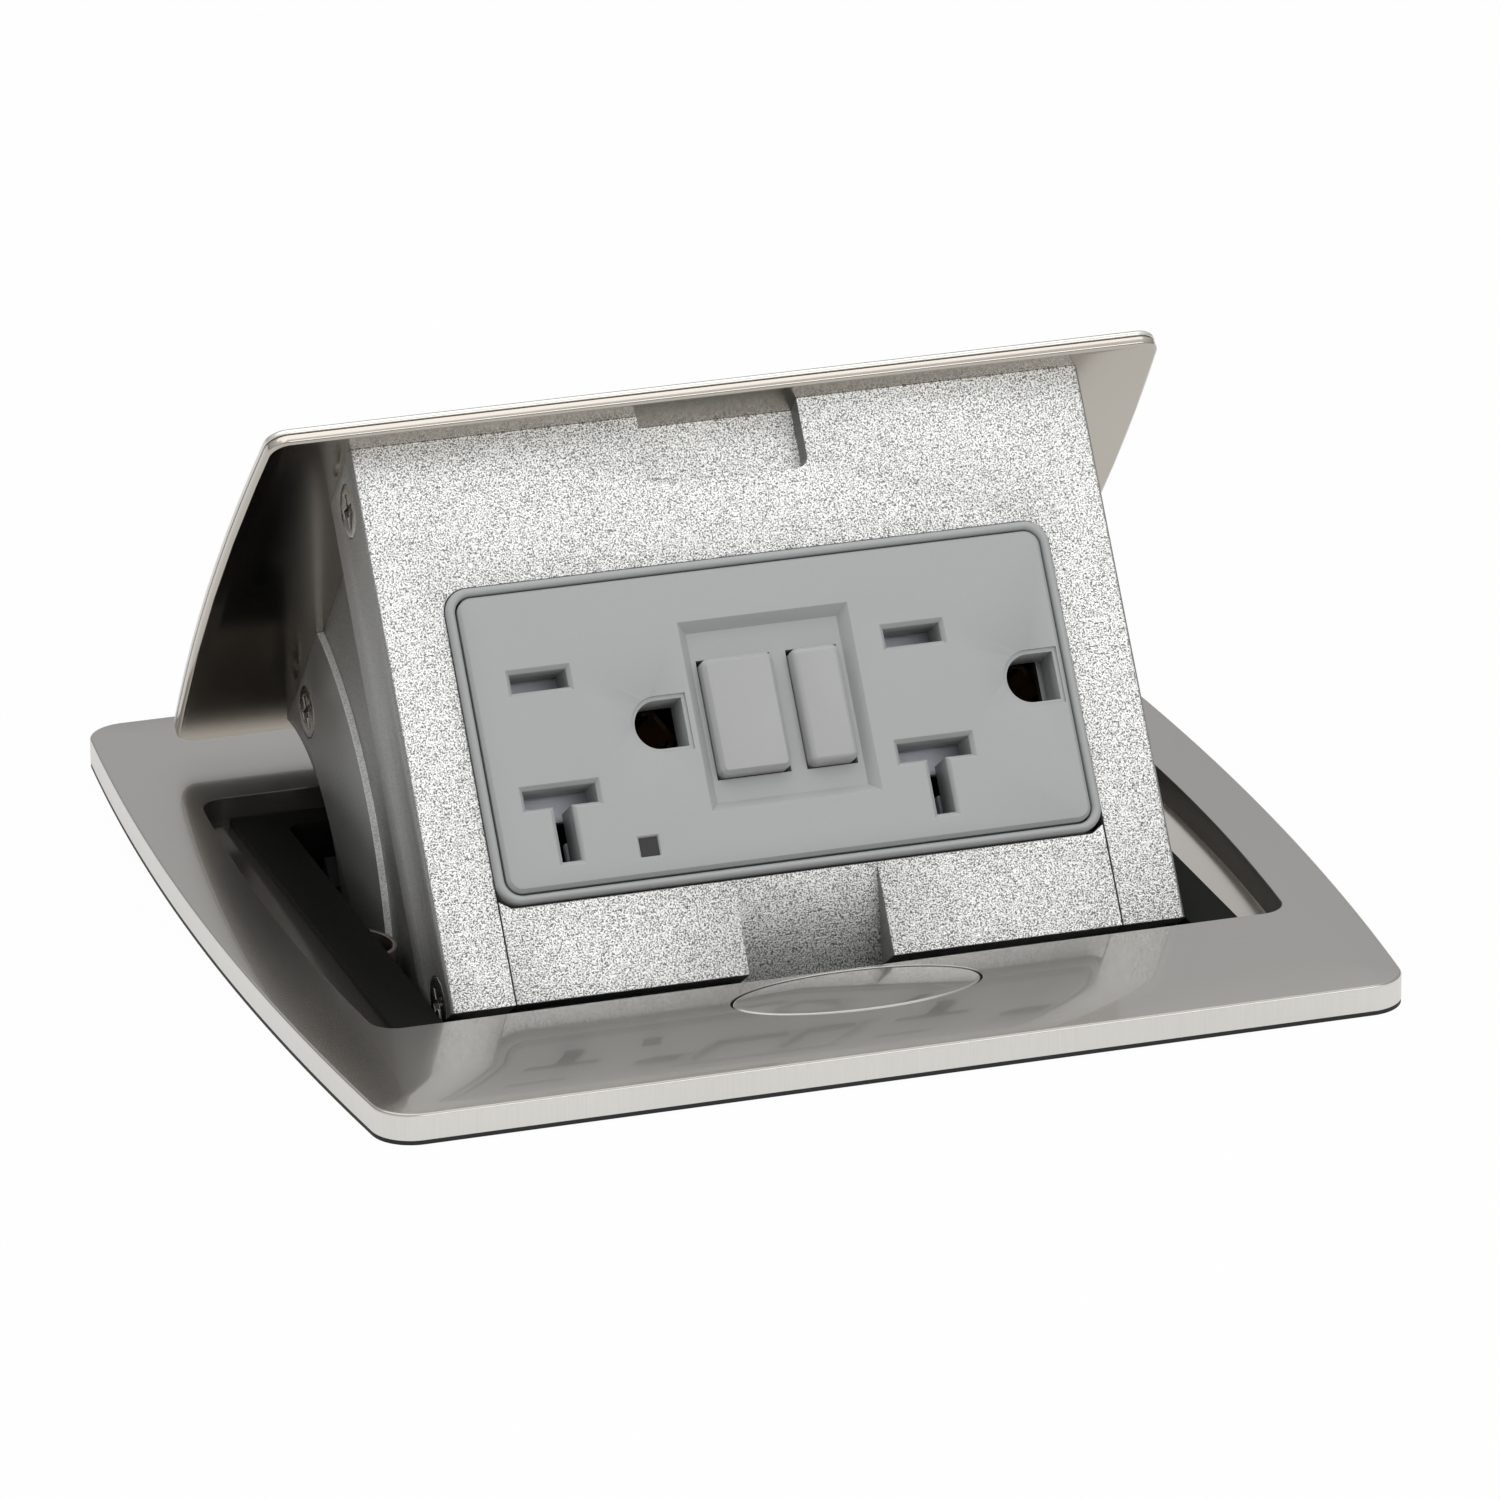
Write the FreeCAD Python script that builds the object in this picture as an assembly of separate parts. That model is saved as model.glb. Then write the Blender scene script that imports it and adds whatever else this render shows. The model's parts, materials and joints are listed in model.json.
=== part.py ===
import FreeCAD, Part
import math
import os

# Floor socket box. Millimetres, +Z up, Z = 0 at the underside of the box.
# X runs along the hinge, -Y is the button side. The carriage is drawn raised.

os.makedirs("parts", exist_ok=True)
V = FreeCAD.Vector
AX_X = V(1, 0, 0)
AX_Y = V(0, 1, 0)
AX_Z = V(0, 0, 1)
LEFT_AND_RIGHT = (-1, 1)

# Plates and sheets
FLANGE_T = 3.5
GASKET_T = 0.5
RIM_T = 2.0
LID_SKIN_T = 0.75
LID_PLATE_T = 1.25
LID_T = LID_SKIN_T + LID_PLATE_T
BOX_WALL = 1.6
FACE_T = 3.0
BAND_T = 2.3
SIDE_T = 2.4
STRAP_T = 1.2
SHUTTER_T = 1.0
LINER_WALL = 2.0
LIP_T = 2.0

# Clearances
RUN_CLEAR = 0.05
SEAT_PLAY = 0.02
SEAT_CLEAR = 0.1
FACE_CLEAR = 0.2
LID_GAP = 0.6
BTN_GAP = 0.2
WEDGE_GAP = 0.15
PRESS_CLEAR = 0.2
SLOT_CLEAR = 0.4
STOP_GAP = 0.12
SPRING_CLEAR = 0.35
THROAT_CLEAR = 0.8
SWEEP_CLEAR = 1.48
WINDOW_CLEAR = 0.3
PLUG_CLEAR = 0.15

# Hinge: how far the carriage swings and how the face stands when the lid is shut
PIVOT_Y = 41.2
PIVOT_DROP = 16.8
LID_TILT = 14.8
SWING = 49.0
T_CLOSED = 90.0 + LID_TILT
T_OPEN = T_CLOSED - SWING
OPEN_RISE = 90.0 - T_OPEN
SHAFT_R = 3.0

# Carriage, in its own axes: a up the face, b out of the face, both from the hinge
FACE_B = 69.9
FACE_A0 = -29.1
FACE_EDGE_R = 0.5
BAND_DEPTH = 11.3
BAND_LIP = 2.2
SHOULDER = 4.3
ARC_RAISE = 0.8
ARC_R_IN = 21.2
ARC_R_OUT = 38.2
ARC_TOP = 62.0
HUB_R = 8.0
ARM_A0 = -80.0
ARM_A1 = -20.0
SIDE_FOOT_B = 12.0
FLOOR_LIP_B = 24.0

# Receptacle
REC_HALF_X = 33.4
REC_HALF_A = 16.65
REC_CORNER = 1.9
RIM_BORDER_X = 1.1
RIM_BORDER_A = 1.05
RIM_CORNER = 2.6
RIM_EDGE = 0.3
RIM_PROUD = 0.7
COVER_PROUD = 0.9
COVER_EDGE = 0.4
BEZEL_X = 7.2
PANEL_H = 10.7
RIM_HALF_X = REC_HALF_X + RIM_BORDER_X
RIM_HALF_A = REC_HALF_A + RIM_BORDER_A
REC_A = FACE_A0 + PANEL_H + RIM_HALF_A
PANEL_A1 = REC_A - RIM_HALF_A
RIM_B = FACE_B + RIM_PROUD
RIM_DEEP = 3.9
COVER_B = FACE_B + COVER_PROUD
STRAP_B = FACE_B - 5.1
BODY_DEEP = 24.8
BODY_B0 = STRAP_B - BODY_DEEP
BODY_HALF_X = REC_HALF_X - 0.2
BODY_HALF_A = REC_HALF_A + 0.95
BODY_CORNER = 2.0
BODY_CHAMFER = 1.5
BODY_EDGE = 3.0
STRAP_BORDER = 1.6

# Outlets, measured from the receptacle's middle
OUTLET_X = (7.8 - REC_HALF_X, REC_HALF_X - 16.5)
BLADE_A = 6.45
SLOT_W = 6.4
T_SLOT_W = 8.2
SLOT_H = 2.1
T_STEM_H = 6.6
T_STEM_DROP = 3.9
SLOT_BEVEL = 0.45
GROUND_DX = 12.3
GROUND_R = 2.7
GROUND_FLAT = 3.0
LENS_X = -16.9
LENS_DROP = REC_HALF_A - 3.45
LENS_W = 2.1
CONTACT_DEEP = 15.9
CONTACT_HALF = 4.0
CONTACT_T = 0.5
CONTACT_TOP = 3.4
BLADE_GAP = 0.9
SLEEVE_R = 3.9
SLEEVE_L = 14.0
SHUTTER_HALF = 4.9
SHUTTER_TRAVEL = 2.8
SHUTTER_B1 = STRAP_B - FACE_CLEAR
SHUTTER_LOW = -(BLADE_A + T_STEM_DROP + T_STEM_H / 2 + 0.55)
SHUTTER_HIGH = BLADE_A + SLOT_H / 2 + 0.4
TERMINAL_X = (OUTLET_X[0] + 3.6, OUTLET_X[1] - 3.9)
TERMINAL_A = BODY_HALF_A - 1.4
TERMINAL_B = BODY_B0 + 10.0
TERMINAL_HALF = 3.6
TERMINAL_RISE = 4.0
CLAMP_T = 0.8

# Sunken tray with the reset and test buttons
TRAY_X = 0.45
TRAY_HALF_X = 9.7
TRAY_HALF_A = 10.6
TRAY_RISE = 0.3
TRAY_D = 1.3
TRAY_SLOPE = 1.1
RESET_X = -3.4
RESET_W = 8.1
TEST_X = 5.5
TEST_W = 5.5
BTN_H = 13.1
BTN_PROUD = 0.35
BTN_CORNER = 0.9
BTN_CHAMFER = 0.5
COLLAR = 0.5
POCKET_D = 3.0
REC_BUTTONS = ((RESET_X, RESET_W), (TEST_X, TEST_W))

# Widths that follow from the receptacle outwards
FACE_HALF_X = RIM_HALF_X + BEZEL_X
SIDE_X = FACE_HALF_X - SHOULDER
SIDE_IN_X = SIDE_X - SIDE_T
BAND_IN_X = FACE_HALF_X - BAND_T
ARC_X = SIDE_X + ARC_RAISE
LINER_X = FACE_HALF_X + THROAT_CLEAR
LID_OVERHANG = 9.1
FLANGE_SIDE = 5.7
LID_HALF_X = FACE_HALF_X + LID_OVERHANG
OP_HALF_X = LID_HALF_X + LID_GAP
BOX_GAP = 1.5
BOX_HALF_X = LINER_X + LINER_WALL + BOX_GAP + BOX_WALL
RIM_DEPTH_Y = 2.6
FLOOR_LAP_X = 2.5
FLOOR_LAP_Y = 3.8
FL_HALF_X = OP_HALF_X + FLANGE_SIDE
BOX_RIM_X = FL_HALF_X - FLOOR_LAP_X

# Lengths in Y, from the hinge and from how far the face reaches as it swings
SWEEP_R = math.hypot(FACE_B, FACE_A0)
LINER_Y0 = round(PIVOT_Y - SWEEP_R - SWEEP_CLEAR, 1)
LID_FRONT_LAP = 1.8
LID_REAR = 12.6
LINER_REAR_LAP = 0.4
LID_Y0 = LINER_Y0 - LID_FRONT_LAP
LID_Y1 = PIVOT_Y - LID_REAR
LINER_Y1 = LID_Y1 - LINER_REAR_LAP
OP_Y0 = LID_Y0 - LID_GAP
REAR_SWING = 3.8
OP_Y1 = LID_Y1 + REAR_SWING
BTN_A = 14.1
BTN_B = 5.6
BTN_STRIP = 0.45
BTN_Y = OP_Y0 - BTN_STRIP - BTN_B
TRAY_END = 2.25
TRAY_Y0 = BTN_Y - BTN_B - TRAY_END
BOX_Y0 = TRAY_Y0 - SEAT_CLEAR - BOX_WALL
BRACKET_REAR = 10.8
BOX_Y1 = PIVOT_Y + BRACKET_REAR + SLOT_CLEAR + BOX_WALL
BOX_RIM_Y0 = BOX_Y0 - RIM_DEPTH_Y
BOX_RIM_Y1 = BOX_Y1 + RIM_DEPTH_Y
FL_Y0 = BOX_RIM_Y0 - FLOOR_LAP_Y
FL_Y1 = BOX_RIM_Y1 + FLOOR_LAP_Y

# Heights: the box is deep enough for the shut carriage, in whole millimetres
FLOOR_CLEAR = 11.0
TILT = math.radians(LID_TILT)
SHUT_DROP = FACE_B * math.sin(TILT) - FACE_A0 * math.cos(TILT)
TOP_Z = float(math.ceil(BOX_WALL + FLOOR_CLEAR + SHUT_DROP + PIVOT_DROP))
PIVOT_Z = TOP_Z - PIVOT_DROP
LEDGE_Z = TOP_Z - FLANGE_T
FLOOR_Z = LEDGE_Z - GASKET_T


def lid_a(b):
    """Height of the lid's underside above the pivot line, at the distance b."""
    return (PIVOT_DROP - LID_T + b * math.sin(TILT)) / math.cos(TILT)


# Flange and lid outlines
FL_BOW = 3.3
FL_CORNER = 4.5
CROWN_W = 9.0
CROWN_DROP = 0.6
CROWN_STEPS = 2
OP_BOW = 1.6
OP_CORNER = 3.0
LID_BOW = 1.3
LID_CORNER = 2.5
SKIN_EDGE = 0.25
PLATE_EDGE = 0.3
GROOVE_H = 0.14
GROOVE_DEEP = 0.2
GASKET_INSET = 0.3

# Liner in the throat
LINER_RISE = 0.9
LINER_DEEP = 12.5
LINER_REAR_DEEP = 3.5
LINER_LAP = 0.3
LINER_GAP = 0.25
LINER_TOP = LEDGE_Z + LINER_RISE
COLLAR_Z = LEDGE_Z - LINER_REAR_DEEP
LINER_CORNER = 1.5

# Button and latch
PRESS = 2.5
BOLT_T = 3.6
BOLT_DROP = 2.1
BOLT_Z1 = LEDGE_Z - BOLT_DROP
BOLT_Z0 = BOLT_Z1 - BOLT_T
BOLT_HALF_X = 7.6
BOLT_CATCH = 3.3
BOLT_FRONT = 4.95
BOLT_TIP_Y = PIVOT_Y - FACE_B - BOLT_CATCH
CAP_Z0 = BOLT_Z1 + PRESS + PRESS_CLEAR
STEM_HALF_X = 4.5
STEM_FRONT = 3.15
STEM_BACK = 3.45
STEM_LOW = 0.4
WEDGE_START = 1.6
CAP_EDGE = 0.2
TRAY_WALL = 1.8
TRAY_HALF = BTN_A + 1.9
TRAY_FRONT = 1.1
TRAY_Y1 = LINER_Y0 - LINER_WALL - 0.5
RAIL_IN = 1.3
TRAY_FLOOR = 1.6
TRAY_DROP = 4.8
TRAY_Z0 = BOLT_Z0 - TRAY_DROP
EAR_T = 2.0
EAR_HALF = 3.0
LATCH_SCREW_X = TRAY_HALF + 2.5
LATCH_SCREW_Y = BTN_Y - 1.05
SMALL_WIRE = 0.5
COIL_STEPS = 6
SPR_R = 1.4
SPR_X = BOLT_HALF_X + SPR_R + SMALL_WIRE / 2 + 0.2
SPR_Y = BTN_Y - 1.75
BTN_SPRING_TURNS = 4
SIDE_SPR_R = 1.0
SIDE_SPR_X = TRAY_HALF - TRAY_WALL - SIDE_SPR_R - SMALL_WIRE / 2 - SPRING_CLEAR
BOLT_SPRING_TURNS = 5
ARM_SIDE = 0.6
ARM_Y1 = LINER_Y0 - LINER_WALL - 0.9
ARM_Y0 = ARM_Y1 - 2.5

# Finger notch in the face, which is also what the latch bolt catches
NOTCH_HALF_X = 9.1
NOTCH_H = 7.78
NOTCH_LOW = lid_a(FACE_B) - NOTCH_H
NOTCH_D = 2.6
NOTCH_R = 1.2
NOTCH_WALL = 1.8

# Ramp in the small panel, which lets the bolt's tip pass
RAMP_HALF_X = 8.15
RAMP_D = 5.0
RAMP_WALL = 1.6
PANEL_NICK = 1.4

# Box under the floor
BOX_R = 5.0
BOX_CHAMFER = 1.2
CONDUIT_R = 11.1
CONDUIT_X = 24.0
CONDUIT_Z = 22.0
CONDUIT_SIDE_Y = -14.0
FIX_X = 35.0
FIX_Y = 28.0
FIX_R = 2.25
FLANGE_SCREWS = [(s * (BOX_HALF_X + 3.0), y) for s in LEFT_AND_RIGHT
                 for y in (BOX_Y0 + 9.0, BOX_Y1 - 9.0)]

# Hinge brackets, shaft and springs
BR_X0 = ARC_X + 2.0
BR_T = 2.2
BR_X1 = BR_X0 + BR_T
BR_EAR = 7.5
BR_FOOT = 9.2
BRACKET_SCREW_X = BR_X0 - 5.2
BRACKET_SCREW_Y = (PIVOT_Y - 1.2, PIVOT_Y + 7.4)
SHAFT_HEAD = 1.4
SHAFT_HEAD_T = 1.2
SHAFT_END = 1.5
RING_T = 0.6
RING_GAP = 0.2
RING_GROOVE = 0.4
RING_PROUD = 1.5
RAIL_Y = PIVOT_Y + 8.0
RAIL_Z = PIVOT_Z - 15.2
RAIL_HALF = 1.6
SPRING_R = 4.7
SPRING_WIRE = 1.2
SPRING_L = 10.0
SPRING_TURNS = 4
SPRING_SIDE_GAP = 2.5
SPRING_X = SIDE_IN_X - SPRING_SIDE_GAP - SPRING_L
TAIL_R = 6.0
TAIL_IN = 1.9
TAIL_ANGLE = -60.0
TAIL_SLOT = 0.95
TAIL_PLAY = 9.0
SLOT_A0 = TAIL_ANGLE - OPEN_RISE - TAIL_PLAY
SLOT_A1 = TAIL_ANGLE - OPEN_RISE + SWING + TAIL_PLAY
STOP_DEEP = 2.6

# Side clips
CLIP_Y = 0.0
CLIP_DROP = 3.7
CLIP_Z = LEDGE_Z - CLIP_DROP
CLIP_T = 0.5
CLIP_H = 2.4
CLIP_REACH = 0.4
CLIP_SPAN = 6.0
CLIP_FOOT = 4.0
CLIP_STEPS = 18

# Screws: (head radius, head height, shank radius, length); small heads have 12 flats
HEAD_SIDES = 12
BAND_SCREW = (3.0, 1.2, 1.5, 5.4)
REAR_SCREW = (3.0, 1.2, 1.5, 7.5)
FLANGE_SCREW = (3.0, 1.5, 1.35, 4.2)
LATCH_SCREW = (2.5, 1.4, 1.15, 4.0)
BRACKET_SCREW = (2.6, 1.5, 1.25, 3.6)
STRAP_SCREW = (1.95, 0.7, 1.05, 4.4)
PANEL_SCREW = (2.2, 1.0, 1.05, 7.0)
TERMINAL_SCREW = (3.0, 1.4, 1.45, 2.8)
SCREW_PLAY = 0.05
SCREW_FREE = 0.35
BAND_SCREW_HIGH = lid_a(FACE_B) - 5.58
BAND_SCREW_LOW = FACE_A0 + 2.3
BAND_SCREW_B = FACE_B - 4.9
REAR_SCREW_A = 16.8
REAR_SCREW_B = 19.9
SIDE_SCREWS = ((FACE_HALF_X, BAND_SCREW_HIGH, BAND_SCREW_B, BAND_SCREW),
               (FACE_HALF_X, BAND_SCREW_LOW, BAND_SCREW_B, BAND_SCREW),
               (ARC_X, REAR_SCREW_A, REAR_SCREW_B, REAR_SCREW))
TIE_R = 3.4
BAND_B = FACE_B - BAND_DEPTH + BAND_LIP
FRAME_B0 = BAND_B + SEAT_CLEAR
STRAP_SCREW_X = BAND_IN_X - 2.6
PANEL_SCREW_X = 24.0
PANEL_SCREW_A = FACE_A0 + 5.5


def write(shape, node):
    """Write one named piece."""
    shape.exportStep("parts/" + node + ".step")


def box(x0, x1, y0, y1, z0, z1):
    """Box from its lower to its upper limits."""
    return Part.makeBox(x1 - x0, y1 - y0, z1 - z0, V(x0, y0, z0))


def cyl(r, h, base, axis=AX_Z):
    """Cylinder of radius r that starts at base and runs along axis."""
    return Part.makeCylinder(r, h, base, axis)


def prism(sides, r, h, base, axis=AX_Z):
    """Bar with that number of sides, r across its corners, from base along axis."""
    pts = []
    for k in range(sides + 1):
        ang = 2 * math.pi * k / sides
        pts.append(V(r * math.cos(ang), r * math.sin(ang), 0))
    bar = Part.Face(Part.makePolygon(pts)).extrude(V(0, 0, h))
    bar.Placement = FreeCAD.Placement(base, FreeCAD.Rotation(AX_Z, axis))
    return bar


def six(r, h, base, axis=AX_Z):
    """Six-sided bar, r across its corners."""
    return prism(6, r, h, base, axis)


def fuse(items):
    """All the items as one solid shape."""
    out = items[0]
    if len(items) > 1:
        out = out.multiFuse(items[1:])
    return out.removeSplitter()


def mirrored(shape):
    """The same piece on the other side."""
    return shape.mirror(V(0, 0, 0), AX_X)


def pair(right):
    """A piece on the right and its mirror image on the left."""
    return Part.makeCompound([right, mirrored(right)])


def prism_yz(points, x0, x1):
    """Outline in Y and Z, pushed from x0 to x1."""
    pts = [V(x0, y, z) for y, z in points]
    face = Part.Face(Part.makePolygon(pts + [pts[0]]))
    return face.extrude(V(x1 - x0, 0, 0))


def round_edges(shape, radius, test):
    """Fillet the edges that the test picks by the edge's middle and direction."""
    picked = []
    for edge in shape.Edges:
        mid = edge.valueAt((edge.FirstParameter + edge.LastParameter) / 2)
        ends = edge.Vertexes
        step = ends[-1].Point - ends[0].Point
        if test(mid, step):
            picked.append(edge)
    return shape.makeFillet(radius, picked)


def upright(step):
    """True for an edge that runs along Z."""
    return abs(step.z) > 1e-4 and abs(step.x) < 1e-6 and abs(step.y) < 1e-6


def chamfer_top(shape, size):
    """Chamfer round the highest face."""
    top = shape.BoundBox.ZMax - 0.01
    return shape.makeChamfer(size, [e for e in shape.Edges if e.BoundBox.ZMin > top])


def chamfer_low(shape, size):
    """Chamfer round the lowest face."""
    low = shape.BoundBox.ZMin + 0.01
    return shape.makeChamfer(size, [e for e in shape.Edges if e.BoundBox.ZMax < low])


def bowed_prism(hx, y0, y1, bow, corner, z0, z1):
    """Plate with straight front and back, bowed left and right sides and round corners."""
    ym = (y0 + y1) / 2
    p = [V(-hx, y0, z0), V(hx, y0, z0), V(hx, y1, z0), V(-hx, y1, z0)]
    edges = [Part.makeLine(p[0], p[1])]
    edges.append(Part.Arc(p[1], V(hx + bow, ym, z0), p[2]).toShape())
    edges.append(Part.makeLine(p[2], p[3]))
    edges.append(Part.Arc(p[3], V(-hx - bow, ym, z0), p[0]).toShape())
    solid = Part.Face(Part.Wire(edges)).extrude(V(0, 0, z1 - z0))
    return round_edges(solid, corner, lambda mid, step: upright(step))


def bowed_wire(hx, y0, y1, bow, corner, z):
    """Outline of the bowed plate at height z."""
    solid = bowed_prism(hx, y0, y1, bow, corner, z - 1.0, z)
    top = max(solid.Faces, key=lambda f: f.CenterOfMass.z)
    return top.OuterWire


def rounded_box(x0, x1, y0, y1, z0, z1, r):
    """Box whose four upright edges are rounded."""
    solid = box(x0, x1, y0, y1, z0, z1)
    return round_edges(solid, r, lambda mid, step: upright(step))


def wire_along(path, wire, flats):
    """Bent wire with that number of flats, which follows a path of straight runs."""
    run = path[1] - path[0]
    spin = FreeCAD.Rotation(AX_Z, run)
    corners = []
    for k in range(flats):
        ang = 2 * math.pi * k / flats
        corner = V(math.cos(ang), math.sin(ang), 0) * (wire / 2)
        corners.append(path[0] + spin.multVec(corner))
    ring = Part.makePolygon(corners + [corners[0]])
    return Part.makePolygon(path).makePipeShell([ring], True, False, 1)


def coil(radius, wire, length, turns, base, axis):
    """Coil spring of straight runs, with its wire centre on the given radius."""
    count = int(COIL_STEPS * turns)
    path = []
    for k in range(count + 1):
        ang = 2 * math.pi * turns * k / count
        path.append(V(radius * math.cos(ang), radius * math.sin(ang), length * k / count))
    solid = wire_along(path, wire, 4)
    solid.Placement = FreeCAD.Placement(base, FreeCAD.Rotation(AX_Z, axis))
    return solid


def cross_screw(size, top, axis):
    """Screw with a cross recess, the top of its head at the point given."""
    head_r, head_h, shank_r, length = size
    head = prism(HEAD_SIDES, head_r, head_h, V(0, 0, -head_h))
    body = head.fuse(six(shank_r, length, V(0, 0, -length)))
    w = head_r * 0.16
    arm = head_r * 0.62
    depth = head_h * 0.6
    body = body.cut(box(-arm, arm, -w, w, -depth, 1))
    body = body.cut(box(-w, w, -arm, arm, -depth, 1))
    body.Placement = FreeCAD.Placement(top, FreeCAD.Rotation(AX_Z, axis))
    return body


def slotted_screw(size, seat, axis):
    """Screw with a straight slot, its head on the point given."""
    head_r, head_h, shank_r, length = size
    head = prism(HEAD_SIDES, head_r, head_h, V(0, 0, 0))
    body = head.fuse(six(shank_r, length, V(0, 0, -length)))
    w = head_r * 0.15
    body = body.cut(box(-head_r, head_r, -w, w, head_h * 0.45, head_h + 1))
    body.Placement = FreeCAD.Placement(seat, FreeCAD.Rotation(AX_Z, axis))
    return body


def hex_screws(size, seats, axis):
    """Hexagon-headed screws whose heads sit on the points given."""
    head_r, head_h, shank_r, length = size
    items = []
    for seat in seats:
        body = six(head_r, head_h, V(0, 0, 0)).fuse(six(shank_r, length, V(0, 0, -length)))
        body.Placement = FreeCAD.Placement(seat, FreeCAD.Rotation(AX_Z, axis))
        items.append(body)
    return Part.makeCompound(items)


def tight(size):
    """Radius of the hole that a screw is driven into."""
    return size[2] + SCREW_PLAY


def loose(size):
    """Radius of the hole that a screw passes through."""
    return size[2] + SCREW_FREE


def ellipse_prism(a, b, cy, z0, z1):
    """Upright oval block."""
    curve = Part.Ellipse(V(0, cy, z0), a, b).toShape()
    return Part.Face(Part.Wire(curve)).extrude(V(0, 0, z1 - z0))


def make_flange():
    """Cover flange: crowned border, bowed opening, oval button hole."""
    body = bowed_prism(FL_HALF_X, FL_Y0, FL_Y1, FL_BOW, FL_CORNER, LEDGE_Z, TOP_Z - CROWN_DROP)
    wires = []
    for k in range(CROWN_STEPS + 1):
        share = k / float(CROWN_STEPS)
        inset = CROWN_W * share
        drop = CROWN_DROP * (1.0 - share) ** 2
        wires.append(bowed_wire(FL_HALF_X - inset, FL_Y0 + inset, FL_Y1 - inset,
                                FL_BOW, FL_CORNER + inset * 0.3, TOP_Z - drop))
    body = body.fuse(Part.makeLoft(wires, True, True))
    body = body.cut(bowed_prism(OP_HALF_X, OP_Y0, OP_Y1, OP_BOW, OP_CORNER,
                                LEDGE_Z - 1, TOP_Z + 1))
    body = body.cut(ellipse_prism(BTN_A, BTN_B, BTN_Y, LEDGE_Z - 1, TOP_Z + 1))
    for x, y in FLANGE_SCREWS:
        deep = FLANGE_SCREW[3] - RIM_T + SLOT_CLEAR
        body = body.cut(six(tight(FLANGE_SCREW), deep, V(x, y, LEDGE_Z)))
    for s in LEFT_AND_RIGHT:
        deep = LATCH_SCREW[3] - EAR_T + SLOT_CLEAR
        body = body.cut(six(tight(LATCH_SCREW), deep, V(s * LATCH_SCREW_X, LATCH_SCREW_Y, LEDGE_Z)))
    return body.removeSplitter()


def make_gasket():
    """Flat rubber ring between the flange and the floor."""
    g = GASKET_INSET
    outer = bowed_prism(FL_HALF_X - g, FL_Y0 + g, FL_Y1 - g, FL_BOW, FL_CORNER, FLOOR_Z, LEDGE_Z)
    c = SLOT_CLEAR
    hole = rounded_box(-BOX_RIM_X - c, BOX_RIM_X + c, BOX_RIM_Y0 - c, BOX_RIM_Y1 + c,
                       FLOOR_Z - 1, LEDGE_Z + 1, BOX_R)
    return outer.cut(hole)


def make_box():
    """Sheet box under the floor with a top rim, conduit holes and fixing holes."""
    body = rounded_box(-BOX_HALF_X, BOX_HALF_X, BOX_Y0, BOX_Y1, 0, LEDGE_Z, BOX_R)
    body = chamfer_low(body, BOX_CHAMFER)
    rim = rounded_box(-BOX_RIM_X, BOX_RIM_X, BOX_RIM_Y0, BOX_RIM_Y1,
                      LEDGE_Z - RIM_T, LEDGE_Z, BOX_R)
    body = body.fuse(rim)
    w = BOX_WALL
    body = body.cut(rounded_box(w - BOX_HALF_X, BOX_HALF_X - w, BOX_Y0 + w, BOX_Y1 - w,
                                w, LEDGE_Z + 1, BOX_R - w))
    for x, y in FLANGE_SCREWS:
        body = body.cut(six(loose(FLANGE_SCREW), RIM_T + 2, V(x, y, LEDGE_Z - RIM_T - 1)))
    for s in LEFT_AND_RIGHT:
        body = body.cut(cyl(CONDUIT_R, w + 2, V(s * CONDUIT_X, BOX_Y0 - 1, CONDUIT_Z), AX_Y))
        for y in (-FIX_Y, FIX_Y):
            body = body.cut(cyl(FIX_R, w + 2, V(s * FIX_X, y, -1)))
        for y in BRACKET_SCREW_Y:
            body = body.cut(six(tight(BRACKET_SCREW), w + 2, V(s * BRACKET_SCREW_X, y, -1)))
    body = body.cut(cyl(CONDUIT_R, w + 2, V(BOX_HALF_X + 1, CONDUIT_SIDE_Y, CONDUIT_Z),
                        V(-1, 0, 0)))
    return body.removeSplitter()


def make_conduit_plug():
    """Knock-out disc that closes the conduit hole in the left of the front."""
    g = PLUG_CLEAR
    return cyl(CONDUIT_R - g, BOX_WALL - g, V(-CONDUIT_X, BOX_Y0 + g, CONDUIT_Z), AX_Y)


def make_liner():
    """Black liner: flat rim around the throat and a collar that hangs into the box."""
    low = LEDGE_Z - LINER_DEEP
    out_x = LINER_X + LINER_WALL
    out_y0 = LINER_Y0 - LINER_WALL
    out_y1 = LINER_Y1 + LINER_WALL
    rim_x = BOX_HALF_X + LINER_LAP
    parts = [box(-rim_x, rim_x, OP_Y0 + LINER_GAP, OP_Y1 - LINER_GAP, LEDGE_Z, LINER_TOP)]
    parts.append(box(-out_x, -LINER_X, out_y0, out_y1, low, LEDGE_Z))
    parts.append(box(LINER_X, out_x, out_y0, out_y1, low, LEDGE_Z))
    parts.append(box(-LINER_X, LINER_X, out_y0, LINER_Y0, low, LEDGE_Z))
    parts.append(box(-LINER_X, LINER_X, LINER_Y1, out_y1, COLLAR_Z, LEDGE_Z))
    body = fuse(parts)
    body = body.cut(rounded_box(-LINER_X, LINER_X, LINER_Y0, LINER_Y1,
                                low - 1, LINER_TOP + 1, LINER_CORNER))
    w = BOLT_HALF_X + SLOT_CLEAR
    body = body.cut(box(-w, w, out_y0 - 1, LINER_Y0 + 1,
                        BOLT_Z0 - SLOT_CLEAR, BOLT_Z1 + SLOT_CLEAR))
    slot = box(LINER_X - 1, out_x + 1, CLIP_Y - CLIP_SPAN - 0.6, CLIP_Y + CLIP_SPAN + 0.6,
               CLIP_Z - CLIP_H, CLIP_Z + CLIP_H)
    body = body.cut(slot).cut(mirrored(slot))
    return body.removeSplitter()


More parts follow.
